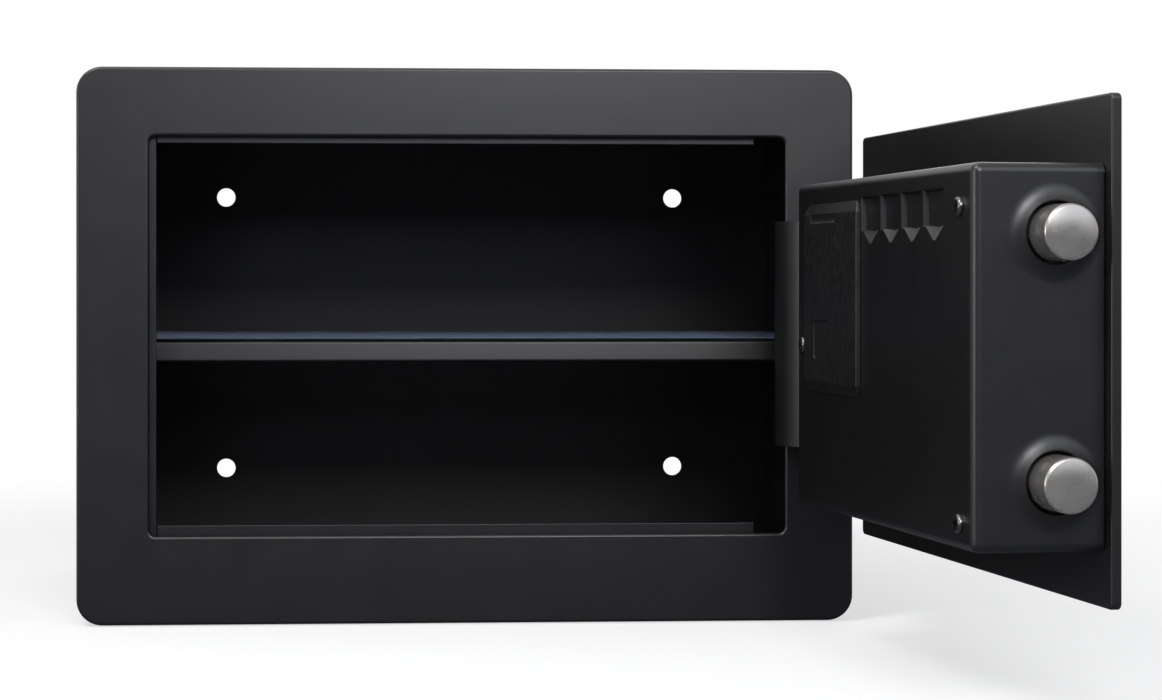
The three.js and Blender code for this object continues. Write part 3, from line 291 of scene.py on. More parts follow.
# %% Floor
FLOOR_SIZE = 8
FLOOR_DROP = 0.0005
FLOOR_ROUGHNESS = 0.9
FLOOR_SPECULAR = 0.1
FADE_NEAR, FADE_FAR = 0.25, 0.9
WHITE_AT_LEAST = 0.6
FLOOR_COLOUR = srgb(246, 246, 246)
FLOOR_IN_GLOSS = srgb(104, 106, 110)

bpy.ops.object.select_all(action="DESELECT")
bpy.ops.mesh.primitive_plane_add(size=FLOOR_SIZE, location=(0, 0, -FLOOR_DROP))
floor = bpy.context.active_object
floor.name = "studio_floor"
floor_paint = Finish("floor_paint", FLOOR_COLOUR, FLOOR_ROUGHNESS)
floor_paint.set("Specular IOR Level", FLOOR_SPECULAR)
path = floor_paint.node("ShaderNodeLightPath").outputs
floor_paint.colour(path["Is Glossy Ray"], FLOOR_COLOUR, FLOOR_IN_GLOSS)
reach = floor_paint.node("ShaderNodeVectorMath", operation="LENGTH")
floor_paint.feed(reach.inputs[0], floor_paint.place)
fade = floor_paint.remap(
    reach.outputs["Value"], WHITE_AT_LEAST, 1, FADE_NEAR, FADE_FAR, "SMOOTHSTEP"
)
white_share = floor_paint.maths("MULTIPLY", fade, floor_paint.is_seen(path))
white = floor_paint.node("ShaderNodeEmission").outputs["Emission"]
surface = floor_paint.mix_shaders(white_share, floor_paint.shader.outputs["BSDF"], white)
floor_paint.feed(floor_paint.nodes["Material Output"].inputs["Surface"], surface)
floor.data.materials.append(floor_paint.material)

# %% [markdown]
# ## Finishes
# ### Powder coat
# The steel is coated with black powder that melts into a skin with a fine orange peel. The
# sheen is low and even, and a little uneven gloss keeps wide faces from looking printed.

# %% Powder coat
COAT_SPREAD = 0.018


def powder_coat(name, dark, light, roughness):
    """Black powder coat: orange peel, faint cloudiness and uneven gloss."""
    finish = Finish(name, dark, roughness)
    cloud = finish.noise(9, detail=3)
    peel = finish.noise(1500, detail=1)
    wave = finish.noise(420, detail=1)
    finish.colour(cloud, dark, light)
    gloss = finish.noise(60, detail=4)
    finish.roughen(gloss, roughness - COAT_SPREAD, roughness + COAT_SPREAD)
    finish.bump(peel, 0.25, 0.00003)
    finish.bump(wave, 0.25, 0.00006)
    return finish


black_coat = powder_coat("black_powder_coat", srgb(11, 11, 12), srgb(15, 15, 16), 0.36)

# %% [markdown]
# ### Plated steel
# Small brackets and the bolt bar are zinc plated. Rolled sheet shows faint lines along its
# length and a slightly patchy plating. The screws of the lock box are blackened. The bolts
# are ground steel, with the finest of lines across their ends.

# %% Plated steel
zinc = Finish("zinc_plate", srgb(172, 172, 168), 0.36, 1.0)
zinc.colour(zinc.noise(70, detail=4), srgb(160, 161, 160), srgb(186, 185, 178))
zinc.roughen(zinc.noise(240, detail=3), 0.28, 0.46)
zinc.bump(zinc.noise(900, detail=2, stretch=(1, 1, 0.08)), 0.15, 0.00003)

black_zinc = Finish("black_zinc_plate", srgb(104, 104, 102), 0.26, 1.0)
black_zinc.colour(black_zinc.noise(300, detail=3), srgb(88, 88, 88), srgb(122, 120, 116))
black_zinc.roughen(black_zinc.noise(500, detail=2), 0.22, 0.32)

bolt_steel = Finish("ground_bolt_steel", srgb(156, 154, 151), 0.28, 0.85)
bolt_steel.colour(bolt_steel.noise(45, detail=3), srgb(149, 147, 144), srgb(163, 161, 158))
bolt_steel.roughen(bolt_steel.noise(90, detail=3), 0.25, 0.31)
bolt_steel.bump(bolt_steel.noise(1800, detail=1, stretch=(0.06, 1, 1)), 0.02, 0.00001)

# %% [markdown]
# ### Plastics, felt and small parts
# Mouldings have a satin grain from a sparked mould. The shelf mat is thin needle felt: short
# fibres in every direction, a fuzzy sheen and a colour that varies from fibre to fibre. The
# lower part of its cut edge is painted dark: painted shade along the mat's front edge.

# %% Plastics and felt
MOULD_SPREAD = 0.06


def moulded(name, colour, roughness, grain=1800, depth=0.00004):
    """Moulded plastic with a fine sparked grain."""
    finish = Finish(name, colour, roughness)
    lighter = tuple(min(1.0, c * 1.25 + 0.002) for c in colour[:3]) + (1.0,)
    finish.colour(finish.noise(35, detail=3), colour, lighter)
    sheen = finish.noise(300, detail=3)
    finish.roughen(sheen, roughness - MOULD_SPREAD, roughness + MOULD_SPREAD)
    finish.bump(finish.noise(grain, detail=2), 0.3, depth)
    return finish


dark_plastic = moulded("black_moulding", srgb(11, 11, 11), 0.42)
knob_plastic = moulded("knob_moulding", srgb(44, 46, 49), 0.35)
key_plastic = moulded("key_moulding", srgb(196, 198, 200), 0.45)
red_plastic = moulded("reset_moulding", srgb(176, 34, 28), 0.4)
ribbon_plastic = moulded("ribbon_insulation", srgb(168, 170, 172), 0.5)
cell_sleeve = moulded("cell_sleeve", srgb(58, 70, 88), 0.3)
green_lens = moulded("green_lens", srgb(52, 120, 70), 0.15, grain=200, depth=0.00001)
board_green = moulded("solder_mask", srgb(26, 84, 50), 0.35)
copper = Finish("copper_winding", srgb(150, 84, 50), 0.35, 1.0)
copper.bump(copper.noise(700, detail=1, stretch=(8, 8, 1)), 0.4, 0.0001)
brass = Finish("turned_brass", srgb(190, 158, 98), 0.28, 1.0)
brass.roughen(brass.noise(500, detail=3), 0.22, 0.36)

PAINTED_EDGE_SHADE_TOP = 127.0
FIBRE_TOP = 127.2
felt = Finish("needle_felt", srgb(52, 60, 76), 0.95)
felt.set("Sheen Weight", 0.5)
felt.set("Sheen Roughness", 0.6)
felt.set("Sheen Tint", srgb(150, 165, 190))
felt.set("Specular IOR Level", 0.1)
fibres = felt.blend(felt.noise(1400, detail=4), srgb(38, 44, 58), srgb(96, 106, 126))
# Below a set height the felt is painted near black: painted shade along the mat's cut front
# edge. It fades into the fibres' colour above that height.
felt_level = felt.node("ShaderNodeSeparateXYZ")
felt.feed(felt_level.inputs["Vector"], felt.place)
out_of_edge_shade = felt.remap(felt_level.outputs["Z"], 0, 1, PAINTED_EDGE_SHADE_TOP * MM, FIBRE_TOP * MM)
felt.colour(out_of_edge_shade, srgb(12, 13, 15), fibres)
felt.bump(felt.noise(1500, detail=6), 0.9, 0.0005)

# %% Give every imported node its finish
FINISH_OF_SLOT = {
    "black_paint": black_coat,
    "zinc_steel": zinc,
    "bolt_steel": bolt_steel,
    "felt_mat": felt,
    "copper_coil": copper,
    "dark_plastic": dark_plastic,
    "board_green": board_green,
    "green_lens": green_lens,
    "cell_sleeve": cell_sleeve,
    "grey_ribbon": ribbon_plastic,
    "knob_plastic": knob_plastic,
    "brass": brass,
    "red_plastic": red_plastic,
    "key_plastic": key_plastic,
}
slot_of_node = {entry["node"]: entry["material_slot"] for entry in frame["record"]["subparts"]}
for node_name, node_object in frame["nodes"].items():
    node_object.data.materials.clear()
    node_object.data.materials.append(FINISH_OF_SLOT[slot_of_node[node_name]].material)
print("finishes:", len(FINISH_OF_SLOT))

# %% [markdown]
# ## Modelling by hand, in code
# Every new piece starts as a primitive at its real size and place. Its faces and edges are
# then picked by where they are, and shaped with the same tools that a hand would use:
# bevel, inset, extrude and bisect. The sizes are in millimetres, as on a workshop drawing.
# An outline is a rectangle seen from the front: its left, bottom, right and top. Cutters
# reach past the surface that they open, most of them by `OVER`. `NEAR` and `EXACT` are the
# tolerances for picking.

# %% Start, pick and shape
OVER = 1
NEAR = 0.1
EXACT = 0.01
TURN_TO_AXIS = {"X": (0, math.pi / 2, 0), "Y": (-math.pi / 2, 0, 0)}


def pick(*pieces):
    """Selects these pieces alone. The first one, if any, becomes the active object."""
    bpy.ops.object.select_all(action="DESELECT")
    for piece in pieces:
        piece.select_set(True)
    if pieces:
        bpy.context.view_layer.objects.active = pieces[0]


def start(name, add, stretch=(1, 1, 1), **options):
    """A primitive at its size and place, selected alone, with its transform applied."""
    pick()
    add(**options)
    piece = bpy.context.active_object
    piece.name = piece.data.name = name
    piece.scale = stretch
    bpy.ops.object.transform_apply(location=True, rotation=True, scale=True)
    return piece


def sheet(name, low, high, across=1, along=1):
    """A level sheet between two corners, in a grid of faces."""
    low, high = Vector(low) * MM, Vector(high) * MM
    stretch = high - low
    stretch.z = 1
    return start(
        name,
        bpy.ops.mesh.primitive_grid_add,
        stretch,
        x_subdivisions=across,
        y_subdivisions=along,
        size=1,
        location=(low + high) / 2,
    )


def cylinder(name, radius, low, high, axis, sides):
    """A cylinder between two points that differ along one axis."""
    low, high = Vector(low) * MM, Vector(high) * MM
    return start(
        name,
        bpy.ops.mesh.primitive_cylinder_add,
        vertices=sides,
        radius=radius * MM,
        depth=(high - low).length,
        location=(low + high) / 2,
        rotation=TURN_TO_AXIS[axis],
    )


def post(name, radius, x, z, low_y, high_y, sides=48):
    """A cylinder along Y."""
    return cylinder(name, radius, (x, low_y, z), (x, high_y, z), "Y", sides)


def middle_of(element):
    """The middle of a face or an edge, in millimetres."""
    points = [vertex.co for vertex in element.verts]
    return sum(points, Vector()) / len(points) / MM


def edit(piece, kind, test=lambda element: True):
    """Opens a piece in edit mode with the faces, edges or vertices that pass a test."""
    pick(piece)
    bpy.ops.object.mode_set(mode="EDIT")
    bpy.ops.mesh.select_mode(type=kind)
    bpy.ops.mesh.select_all(action="DESELECT")
    mesh = bmesh.from_edit_mesh(piece.data)
    pool = {"VERT": mesh.verts, "EDGE": mesh.edges, "FACE": mesh.faces}[kind]
    chosen = [element for element in pool if test(element)]
    for element in chosen:
        element.select_set(True)
    bmesh.update_edit_mesh(piece.data)
    return len(chosen)


def done():
    bpy.ops.object.mode_set(mode="OBJECT")


def runs_along_y(edge):
    first, second = edge.verts
    return abs((second.co - first.co).normalized().y) > 0.999


def is_fold(edge, degrees=30):
    """Whether two faces meet at an edge at more than an angle."""
    return len(edge.link_faces) == 2 and edge.calc_face_angle() > math.radians(degrees)


def lies_at(axis, level, reach=NEAR):
    """A test for faces or edges whose middle is in a plane across an axis."""
    number = "XYZ".index(axis)
    return lambda element: abs(middle_of(element)[number] - level) < reach


def folds_at(axis, level, degrees=60, reach=EXACT):
    """A test for folds that are in a plane across an axis."""
    at_level = lies_at(axis, level, reach)
    return lambda edge: is_fold(edge, degrees) and at_level(edge)


def round_edges(piece, test, radius, segments):
    """Bevels the edges that pass a test."""
    count = edit(piece, "EDGE", test)
    if count:
        bpy.ops.mesh.bevel(offset=radius * MM, segments=segments, affect="EDGES")
    done()
    return count


def drop_faces(piece, test):
    """Deletes the faces that pass a test."""
    edit(piece, "FACE", test)
    bpy.ops.mesh.delete(type="FACE")
    done()


def pull(x, y, z):
    """Extrudes what is picked, and moves it by millimetres."""
    move = (x * MM, y * MM, z * MM)
    bpy.ops.mesh.extrude_region_move(TRANSFORM_OT_translate={"value": move})


def raise_rings(reach, steps, profile, last=1):
    """Insets the picked face in rings and moves each along -X, as a profile says."""
    raised = 0
    for step in range(1, steps + 1):
        level = profile(step / steps)
        ring = reach / steps if step < steps else last * reach / steps
        bpy.ops.mesh.inset(thickness=ring * MM)
        bpy.ops.transform.translate(value=((raised - level) * MM, 0, 0))
        raised = level


def face_outwards(piece):
    """Turns every face to the outside."""
    edit(piece, "FACE")
    bpy.ops.mesh.normals_make_consistent(inside=False)
    done()


def slab(name, outline, low_y, high_y, radius=0, segments=0, grow=0):
    """An upright block from its outline, larger all round by a margin, its corners rounded."""
    left, bottom, right, top = outline
    low = Vector((left - grow, low_y, bottom - grow)) * MM
    high = Vector((right + grow, high_y, top + grow)) * MM
    middle = (low + high) / 2
    piece = start(name, bpy.ops.mesh.primitive_cube_add, high - low, size=1, location=middle)
    if radius:
        round_edges(piece, runs_along_y, radius, segments)
    return piece


def around(x, z, width, height):
    """The outline of a rectangle round its middle."""
    return (x - width / 2, z - height / 2, x + width / 2, z + height / 2)


def modify(piece, kind, **settings):
    """Adds a modifier and applies it."""
    pick(piece)
    modifier = piece.modifiers.new(kind.title(), kind)
    for name, value in settings.items():
        setattr(modifier, name, value)
    bpy.ops.object.modifier_apply(modifier=modifier.name)


def combine(piece, tool, operation):
    """Joins a tool to a piece, or cuts it out, and throws the tool away."""
    modify(piece, "BOOLEAN", object=tool, operation=operation, solver="EXACT")
    bpy.data.objects.remove(tool)


def cut(piece, tool):
    combine(piece, tool, "DIFFERENCE")


def drill(piece, radius, x, z, low_y, high_y, sides=48):
    """Cuts a round hole along Y."""
    cut(piece, post("drill", radius, x, z, low_y, high_y, sides))


def smooth(piece, degrees=30):
    """Smooth shading, with each wide flat face left flat beside its round edges."""
    pick(piece)
    bpy.ops.object.shade_smooth_by_angle(angle=math.radians(degrees))
    modify(piece, "WEIGHTED_NORMAL", keep_sharp=True)


# %% [markdown]
# ### Pieces on the door
# The door stands open. Its pieces are drawn with the door closed, where everything is
# square to the axes, and are then swung open about the hinge pin all at once.

# %% Hang pieces on the door, or fix them to the cabinet
HINGE_PIN = Vector((166.5, -113.0, 0)) * MM
DOOR_ANGLE = math.radians(96.6)
to_pin = Matrix.Translation(HINGE_PIN)
SWING_OPEN = to_pin @ Matrix.Rotation(DOOR_ANGLE, 4, "Z") @ to_pin.inverted()


def finish_piece(piece, body, finish, nodes=()):
    """Gives a piece its finish, hangs it on its body and hides the nodes it stands for."""
    piece.data.materials.clear()
    piece.data.materials.append(finish.material)
    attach(piece, body)
    if nodes:
        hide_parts(*nodes)
    print(piece.name, "has", len(piece.data.polygons), "faces")


def hang(piece, body, finish, nodes=()):
    """As above, for a piece that was drawn with the door closed."""
    piece.data.transform(SWING_OPEN)
    finish_piece(piece, body, finish, nodes)


# %% [markdown]
# ## The cabinet
# The body is one sheet of 2 mm steel wrapped round four big corners. A block gets its long
# edges rounded, loses its front and back, and Solidify gives the skin its thickness.

# %% Wrapped body
FRONT, BACK = -125, 125
BODY = (-175, 0, 175, 250)
SHEET = 2
CORNER = 11.5

shell = slab("cabinet_shell", BODY, FRONT + SHEET, BACK - SHEET, CORNER, 12)
drop_faces(shell, lambda face: abs(face.normal.y) > 0.9)
modify(shell, "SOLIDIFY", thickness=SHEET * MM, offset=-1)
smooth(shell)
finish_piece(shell, "cabinet", black_coat, ["body_shell"])

# %% [markdown]
# The front frame is the face of the safe. Its outer edge is folded over a small radius, and
# the edge of the opening is rounded the same way, so both catch a thin line of light.

# %% Front frame
OPENING = (-142.6, 39.8, 144.0, 219.0)
OPENING_CORNER = 3
MOUTH_REACH = 5
FOLD = 1.4

face = slab("cabinet_face", BODY, FRONT, FRONT + SHEET, CORNER, 12)
mouth = (FRONT - MOUTH_REACH, FRONT + MOUTH_REACH)
cut(face, slab("mouth", OPENING, *mouth, OPENING_CORNER, 6))
print("folded edges on the face:", round_edges(face, folds_at("Y", FRONT, 30), FOLD, 4))
smooth(face)
finish_piece(face, "cabinet", black_coat, ["front_frame"])

# %% Back panel with its anchor holes
ANCHOR_RADIUS = 5
ANCHOR_X = 121.5
ANCHOR_Z = (53.3, 199.9)
ANCHOR_REACH = 15
PANEL_EDGE = 0.4

back = slab("cabinet_back", BODY, BACK - SHEET, BACK, CORNER, 12)
for x in (-ANCHOR_X, ANCHOR_X):
    for z in ANCHOR_Z:
        drill(back, ANCHOR_RADIUS, x, z, BACK - ANCHOR_REACH, BACK + ANCHOR_REACH)
round_edges(back, folds_at("Y", BACK, 30), PANEL_EDGE, 2)
smooth(back)
finish_piece(back, "cabinet", black_coat, ["back_panel"])

# %% [markdown]
# The shelf is a sheet with its front edge bent down and back under itself. An extruded
# plane gives the three runs, the two bends are bevelled round, and the sheet gets its
# thickness last. The lip leans back a little, as bent sheet springs back, so it catches
# more light than the frame does.

# %% Shelf
SHELF_TOP = 126.2
SHELF_SHEET = 1.5
SHELF_FRONT = -67.0
SHELF_BACK = 122.5
SHELF_HALF = 172.5
SHELF_LIP = 10.3
SHELF_HEM = 9.0
SHELF_BEND = 1.5
SHELF_LEAN = 0.9

shelf = sheet(
    "shelf_sheet",
    (-SHELF_HALF, SHELF_FRONT + SHELF_LEAN, SHELF_TOP),
    (SHELF_HALF, SHELF_BACK, SHELF_TOP),
)
edit(shelf, "EDGE", lies_at("Y", SHELF_FRONT + SHELF_LEAN))
pull(0, -SHELF_LEAN, -SHELF_LIP)
pull(0, SHELF_HEM, 0)
done()
round_edges(shelf, lambda edge: is_fold(edge, 60), SHELF_BEND, 6)
face_outwards(shelf)
upward = max(shelf.data.polygons, key=lambda polygon: polygon.area).normal.z > 0
modify(shelf, "SOLIDIFY", thickness=SHELF_SHEET * MM, offset=-1 if upward else 1)
smooth(shelf)
finish_piece(shelf, "cabinet", black_coat, ["shelf"])

# %% [markdown]
# The mat is a cut piece of needle felt. Felt has no hard edge, so a fine grid is given a
# slightly wavy outline and a surface that rises and falls by a few tenths of a millimetre.

# %% Felt mat
from mathutils import noise as field

MAT_THICKNESS = 1.4
MAT_INSET = 2.5
MAT_SLACK = 0.5
MAT_LOW = 0.25
MAT_SWELL = 0.2
MAT_FUZZ = 0.1
MAT_SKIN = 0.8
MAT_EDGE = 0.3
DRIFT_SCALE = 0.05
FUZZ_SCALE = 0.6
FUZZ_LAYER = 5
FUZZ_AT_EDGE = 0.6

mat_half = SHELF_HALF - MAT_INSET
mat_front = SHELF_FRONT + MAT_INSET
mat_back = SHELF_BACK - MAT_INSET
mat_top = SHELF_TOP + MAT_THICKNESS
mat_corners = (-mat_half, mat_front, mat_top), (mat_half, mat_back, mat_top)
mat = sheet("felt_mat", *mat_corners, across=170, along=92)
for vertex in mat.data.vertices:
    x, y, z = vertex.co / MM
    drift = field.noise(Vector((x * DRIFT_SCALE, y * DRIFT_SCALE, 0)))
    fuzz = field.noise(Vector((x * FUZZ_SCALE, y * FUZZ_SCALE, FUZZ_LAYER)))
    vertex.co.z = (z - MAT_LOW + MAT_SWELL * drift + MAT_FUZZ * fuzz) * MM
    if abs(y - mat_front) < EXACT:
        vertex.co.y += MAT_SLACK * (drift + FUZZ_AT_EDGE * fuzz) * MM
modify(mat, "SOLIDIFY", thickness=MAT_SKIN * MM, offset=-1)
round_edges(mat, lambda edge: is_fold(edge, 60), MAT_EDGE, 2)
smooth(mat, 50)
finish_piece(mat, "cabinet", felt, ["shelf_mat"])

# %% [markdown]
# ## The door
# ### Bolts
# The two bolts are turned from bright bar: a straight cylinder with a broken edge at its
# face, and a thinner spigot riveted to the bar inside. The back face is inset to the
# spigot's size and pulled out. The front face is inset in rings that rise a little, since a
# turned face is never quite flat, and the dome shades from light to dark.

# %% Bolts
BOLT_RADIUS = 9.75
BOLT_EDGE = 1.0
BOLT_TIP, BOLT_BACK = -153.2, -111.2
BOLT_Y = -102.6
BOLT_LEVELS = {"bolt_lower": 84.2, "bolt_upper": 170.2}
SPIGOT_RADIUS = 4.0
SPIGOT_END = -107.6
SPIGOT_EDGE = 0.5
CROWN = 1.1
CROWN_STEPS = 8
CROWN_LAST = 0.6
CROWN_MARGIN = 0.2
CROWN_REACH = BOLT_RADIUS - BOLT_EDGE - CROWN_MARGIN


def crown_level(share):
    return CROWN * (1 - (1 - share) ** 2)


bolt_rim = BOLT_TIP + CROWN
for node_name, z in BOLT_LEVELS.items():
    ends = (bolt_rim, BOLT_Y, z), (BOLT_BACK, BOLT_Y, z)
    bolt = cylinder(node_name + "_turned", BOLT_RADIUS, *ends, "X", 96)
    edit(bolt, "FACE", lies_at("X", bolt_rim))
    raise_rings(CROWN_REACH, CROWN_STEPS, crown_level, CROWN_LAST)
    done()
    edit(bolt, "FACE", lies_at("X", BOLT_BACK))
    bpy.ops.mesh.inset(thickness=(BOLT_RADIUS - SPIGOT_RADIUS) * MM)
    pull(SPIGOT_END - BOLT_BACK, 0, 0)
    done()
    round_edges(bolt, folds_at("X", bolt_rim, 30), BOLT_EDGE, 4)
    round_edges(bolt, folds_at("X", SPIGOT_END, 30), SPIGOT_EDGE, 2)
    smooth(bolt)
    hang(bolt, "bolt_work", bolt_steel, [node_name])

# %% [markdown]
# ### Lock box
# The cover over the lock is one sheet pressed into a deep tray, so every edge of its face
# is a bend. A block is bevelled all round, loses its open side and gets its thickness.

# %% Lock box shell
BOX_LEFT, BOX_RIGHT = -136.7, 80.8
BOX_BOTTOM, BOX_TOP = 59.95, 194.45
BOX_BASE, BOX_FACE = -120.7, -73.0
BOX_SHEET = 1.2
BOX_BEND = 3.4

box = slab("lock_cover", (BOX_LEFT, BOX_BOTTOM, BOX_RIGHT, BOX_TOP), BOX_BASE, BOX_FACE)
round_edges(box, lambda edge: middle_of(edge).y > BOX_BASE + NEAR, BOX_BEND, 8)
drop_faces(box, lambda face: face.normal.y < -0.9)
modify(box, "SOLIDIFY", thickness=BOX_SHEET * MM, offset=-1)

# %% [markdown]
# The pockets beside the battery cover are pressed in. A five-cornered outline is pulled
# into the sheet, and the corners of its floor are drawn in, which gives the walls their
# draft and the foot its two sloping faces. Each pocket is joined once, larger by the
# sheet's thickness, and then cut out, so its wall is as thick as the sheet.

# %% Pressed pockets
POCKET_COUNT = 4
POCKET_PITCH = 25
POCKET_WIDTH = 22
POCKET_FIRST = -31.2
POCKET_TOP = 186.4
POCKET_FOOT = 173.4
POCKET_TIP = 166.0
POCKET_DEPTH = 2.2
POCKET_DRAFT = 0.5
FAR_AWAY = 1000


def nearest(point, corners):
    """The number of the corner that lies nearest to a point, seen from the front."""
    gaps = [math.hypot(point.x - x, point.z - z) for x, z in corners]
    return gaps.index(min(gaps))


def pocket(left, grow, mouth):
    """One pocket as a solid from its mouth to its floor, larger by a margin.

    The floor is first pulled far away, so that its corners can be told from the mouth's.
    """
    right = left + POCKET_WIDTH
    middle = (left + right) / 2
    wide = grow + POCKET_DRAFT / 2
    narrow = POCKET_DRAFT - grow
    outline = [
        (left - wide, POCKET_TOP + wide),
        (right + wide, POCKET_TOP + wide),
        (right + wide, POCKET_FOOT - wide),
        (middle, POCKET_TIP - wide),
        (left - wide, POCKET_FOOT - wide),
    ]
    sunk = [
        (left + narrow, POCKET_TOP - narrow),
        (right - narrow, POCKET_TOP - narrow),
        (right - narrow, POCKET_FOOT + POCKET_DRAFT),
        (middle, POCKET_FOOT - POCKET_DRAFT),
        (left + narrow, POCKET_FOOT + POCKET_DRAFT),
    ]
    solid = start("pocket", bpy.ops.mesh.primitive_circle_add, vertices=5, fill_type="NGON")
    for vertex, (x, z) in zip(solid.data.vertices, outline):
        vertex.co = Vector((x, mouth, z)) * MM
    edit(solid, "FACE")
    pull(0, -FAR_AWAY, 0)
    done()
    for vertex in solid.data.vertices:
        if vertex.co.y < -FAR_AWAY / 2 * MM:
            x, z = sunk[nearest(vertex.co / MM, outline)]
            vertex.co = Vector((x, BOX_FACE - POCKET_DEPTH - grow, z)) * MM
    face_outwards(solid)
    return solid


for i in range(POCKET_COUNT):
    pocket_left = POCKET_FIRST - i * POCKET_PITCH
    combine(box, pocket(pocket_left, BOX_SHEET, BOX_FACE - BOX_SHEET / 2), "UNION")
    cut(box, pocket(pocket_left, 0, BOX_FACE + OVER))

# %% [markdown]
# The sheet swells a little round each bolt hole, where it was pressed outwards for
# stiffness. The front of a disc is inset in small steps, and each ring is raised more than
# the last, so the swelling starts level and ends in a lip. Its upper side is the soft light
# patch beside each bolt.

# %% Pressed collars round the bolt holes
COLLAR_RADIUS = 17.2
COLLAR_MOUTH = 11.6
COLLAR_HEIGHT = 2.0
COLLAR_STEPS = 8
COLLAR_START = 0.01

collar_reach = COLLAR_RADIUS - COLLAR_MOUTH
for z in BOLT_LEVELS.values():
    disc = (BOX_LEFT - COLLAR_START, BOLT_Y, z), (BOX_LEFT + BOX_SHEET / 2, BOLT_Y, z)
    collar = cylinder("collar", COLLAR_RADIUS, *disc, "X", 96)
    edit(collar, "FACE", lies_at("X", BOX_LEFT))
    raise_rings(collar_reach, COLLAR_STEPS, lambda share: COLLAR_HEIGHT * share**2)
    done()
    combine(box, collar, "UNION")

# %% Holes for the battery tray, the bolts and the screws
TRAY = (-3.9, 114.4, 58.5, 180.0)
TRAY_GAP = 0.3
TRAY_CORNER = 1.0
BOLT_HOLE_GAP = 1.2
HOLE_REACH = 3
BOX_SCREWS = {
    "box_screw_upper": (-123.7, 179.5),
    "box_screw_lower": (-123.7, 69.4),
    "box_screw_side": (70.3, 127.2),
}
SCREW_HOLE_RADIUS = 2.0

through = (BOX_FACE - HOLE_REACH, BOX_FACE + OVER)
cut(box, slab("tray_hole", TRAY, *through, TRAY_CORNER, 4, grow=TRAY_GAP))
for z in BOLT_LEVELS.values():
    ends = (BOX_LEFT - HOLE_REACH, BOLT_Y, z), (BOX_LEFT + HOLE_REACH, BOLT_Y, z)
    cut(box, cylinder("bolt_hole", BOLT_RADIUS + BOLT_HOLE_GAP, *ends, "X", 96))
for x, z in BOX_SCREWS.values():
    drill(box, SCREW_HOLE_RADIUS, x, z, *through, 32)

# %% [markdown]
# Paint runs thick over a pressed edge, so no edge stays sharp: the rims of the pockets and
# holes and the cut edge along the door get a bevel of a few tenths of a millimetre.

# %% Painted edges of the lock box
POCKET_RIM = 0.35
BOLT_RIM = 0.5
BASE_EDGE = 0.4
POCKETS_LEFT = POCKET_FIRST - (POCKET_COUNT - 1) * POCKET_PITCH
POCKETS_RIGHT = POCKET_FIRST + POCKET_WIDTH
RIM_ZONE = 2
RIM_BELOW = 0.05


def is_pocket_rim(edge):
    x, y, z = middle_of(edge)
    across = POCKETS_LEFT - RIM_ZONE < x < POCKETS_RIGHT + RIM_ZONE
    upright = POCKET_TIP - RIM_ZONE < z < POCKET_TOP + RIM_ZONE
    return across and upright and y > BOX_FACE - RIM_BELOW and is_fold(edge)


def is_outer_base(edge):
    x, y, z = middle_of(edge)
    from_sides = min(abs(x - BOX_LEFT), abs(x - BOX_RIGHT))
    from_ends = min(abs(z - BOX_BOTTOM), abs(z - BOX_TOP))
    outer = min(from_sides, from_ends) < EXACT
    return outer and is_fold(edge, 60) and abs(y - BOX_BASE) < EXACT


is_bolt_rim = folds_at("X", BOX_LEFT - COLLAR_HEIGHT, reach=0.03)
print("pocket rims:", round_edges(box, is_pocket_rim, POCKET_RIM, 2))
print("bolt rims:", round_edges(box, is_bolt_rim, BOLT_RIM, 3))
print("base edge:", round_edges(box, is_outer_base, BASE_EDGE, 2))
smooth(box)
hang(box, "door", black_coat, ["lock_box"])

# %% [markdown]
# ### Battery cover
# The cover is a moulded plate. Its two ends slope down to thin edges, a shallow round groove
# takes a fingernail, a shallow panel is sunk near its foot, and a rim behind it drops into
# the tray. The slopes are made by cutting the plate across with bisect, and by lowering
# every point beyond the cut in proportion to its distance.

# %% Battery cover
LID = (-8.7, 108.4, 63.3, 185.4)
LID_SEAT = -72.85
LID_THICKNESS = 1.8
LID_FACE = LID_SEAT + LID_THICKNESS
LID_CORNER = 5.0
LID_EDGE = 0.35
LID_RAMP = 4.4
LID_RAMP_DROP = 1.5
LID_THIN_END = LID_THICKNESS - LID_RAMP_DROP

lid = slab("battery_cover", LID, LID_SEAT, LID_FACE, LID_CORNER, 8)
foot_cut = LID[1] + LID_RAMP
head_cut = LID[3] - LID_RAMP
for cut_z in (head_cut, foot_cut):
    edit(lid, "FACE")
    bpy.ops.mesh.bisect(plane_co=(0, 0, cut_z * MM), plane_no=(0, 0, 1))
    done()
for vertex in lid.data.vertices:
    x, y, z = vertex.co / MM
    past = max(z - head_cut, foot_cut - z, 0)
    if y > LID_SEAT + NEAR:
        vertex.co.y = (y - LID_RAMP_DROP * past / LID_RAMP) * MM


def is_lid_edge(edge):
    return is_fold(edge, 40) and middle_of(edge).y > LID_SEAT + LID_THIN_END + NEAR


round_edges(lid, is_lid_edge, LID_EDGE, 3)

# %% Groove and sunk panel
GROOVE_LEFT, GROOVE_RIGHT, GROOVE_Z = 19.6, 54.0, 179.2
GROOVE_RADIUS = 2.7
GROOVE_DEPTH = 0.7
SUNK_PANEL = (27.0, 122.2, 49.6, 137.6)
SUNK_DEPTH = 0.5
SUNK_CUT_END = 0
SUNK_CORNER = 1.0
SUNK_RIM = 0.2

groove_y = LID_FACE - GROOVE_DEPTH + GROOVE_RADIUS
groove_ends = (GROOVE_LEFT, groove_y, GROOVE_Z), (GROOVE_RIGHT, groove_y, GROOVE_Z)
cut(lid, cylinder("groove", GROOVE_RADIUS, *groove_ends, "X", 48))
sunk = slab("sunk", SUNK_PANEL, LID_FACE - SUNK_DEPTH, SUNK_CUT_END, SUNK_CORNER, 4)
cut(lid, sunk)
print("rims in the cover:", round_edges(lid, folds_at("Y", LID_FACE), SUNK_RIM, 2))

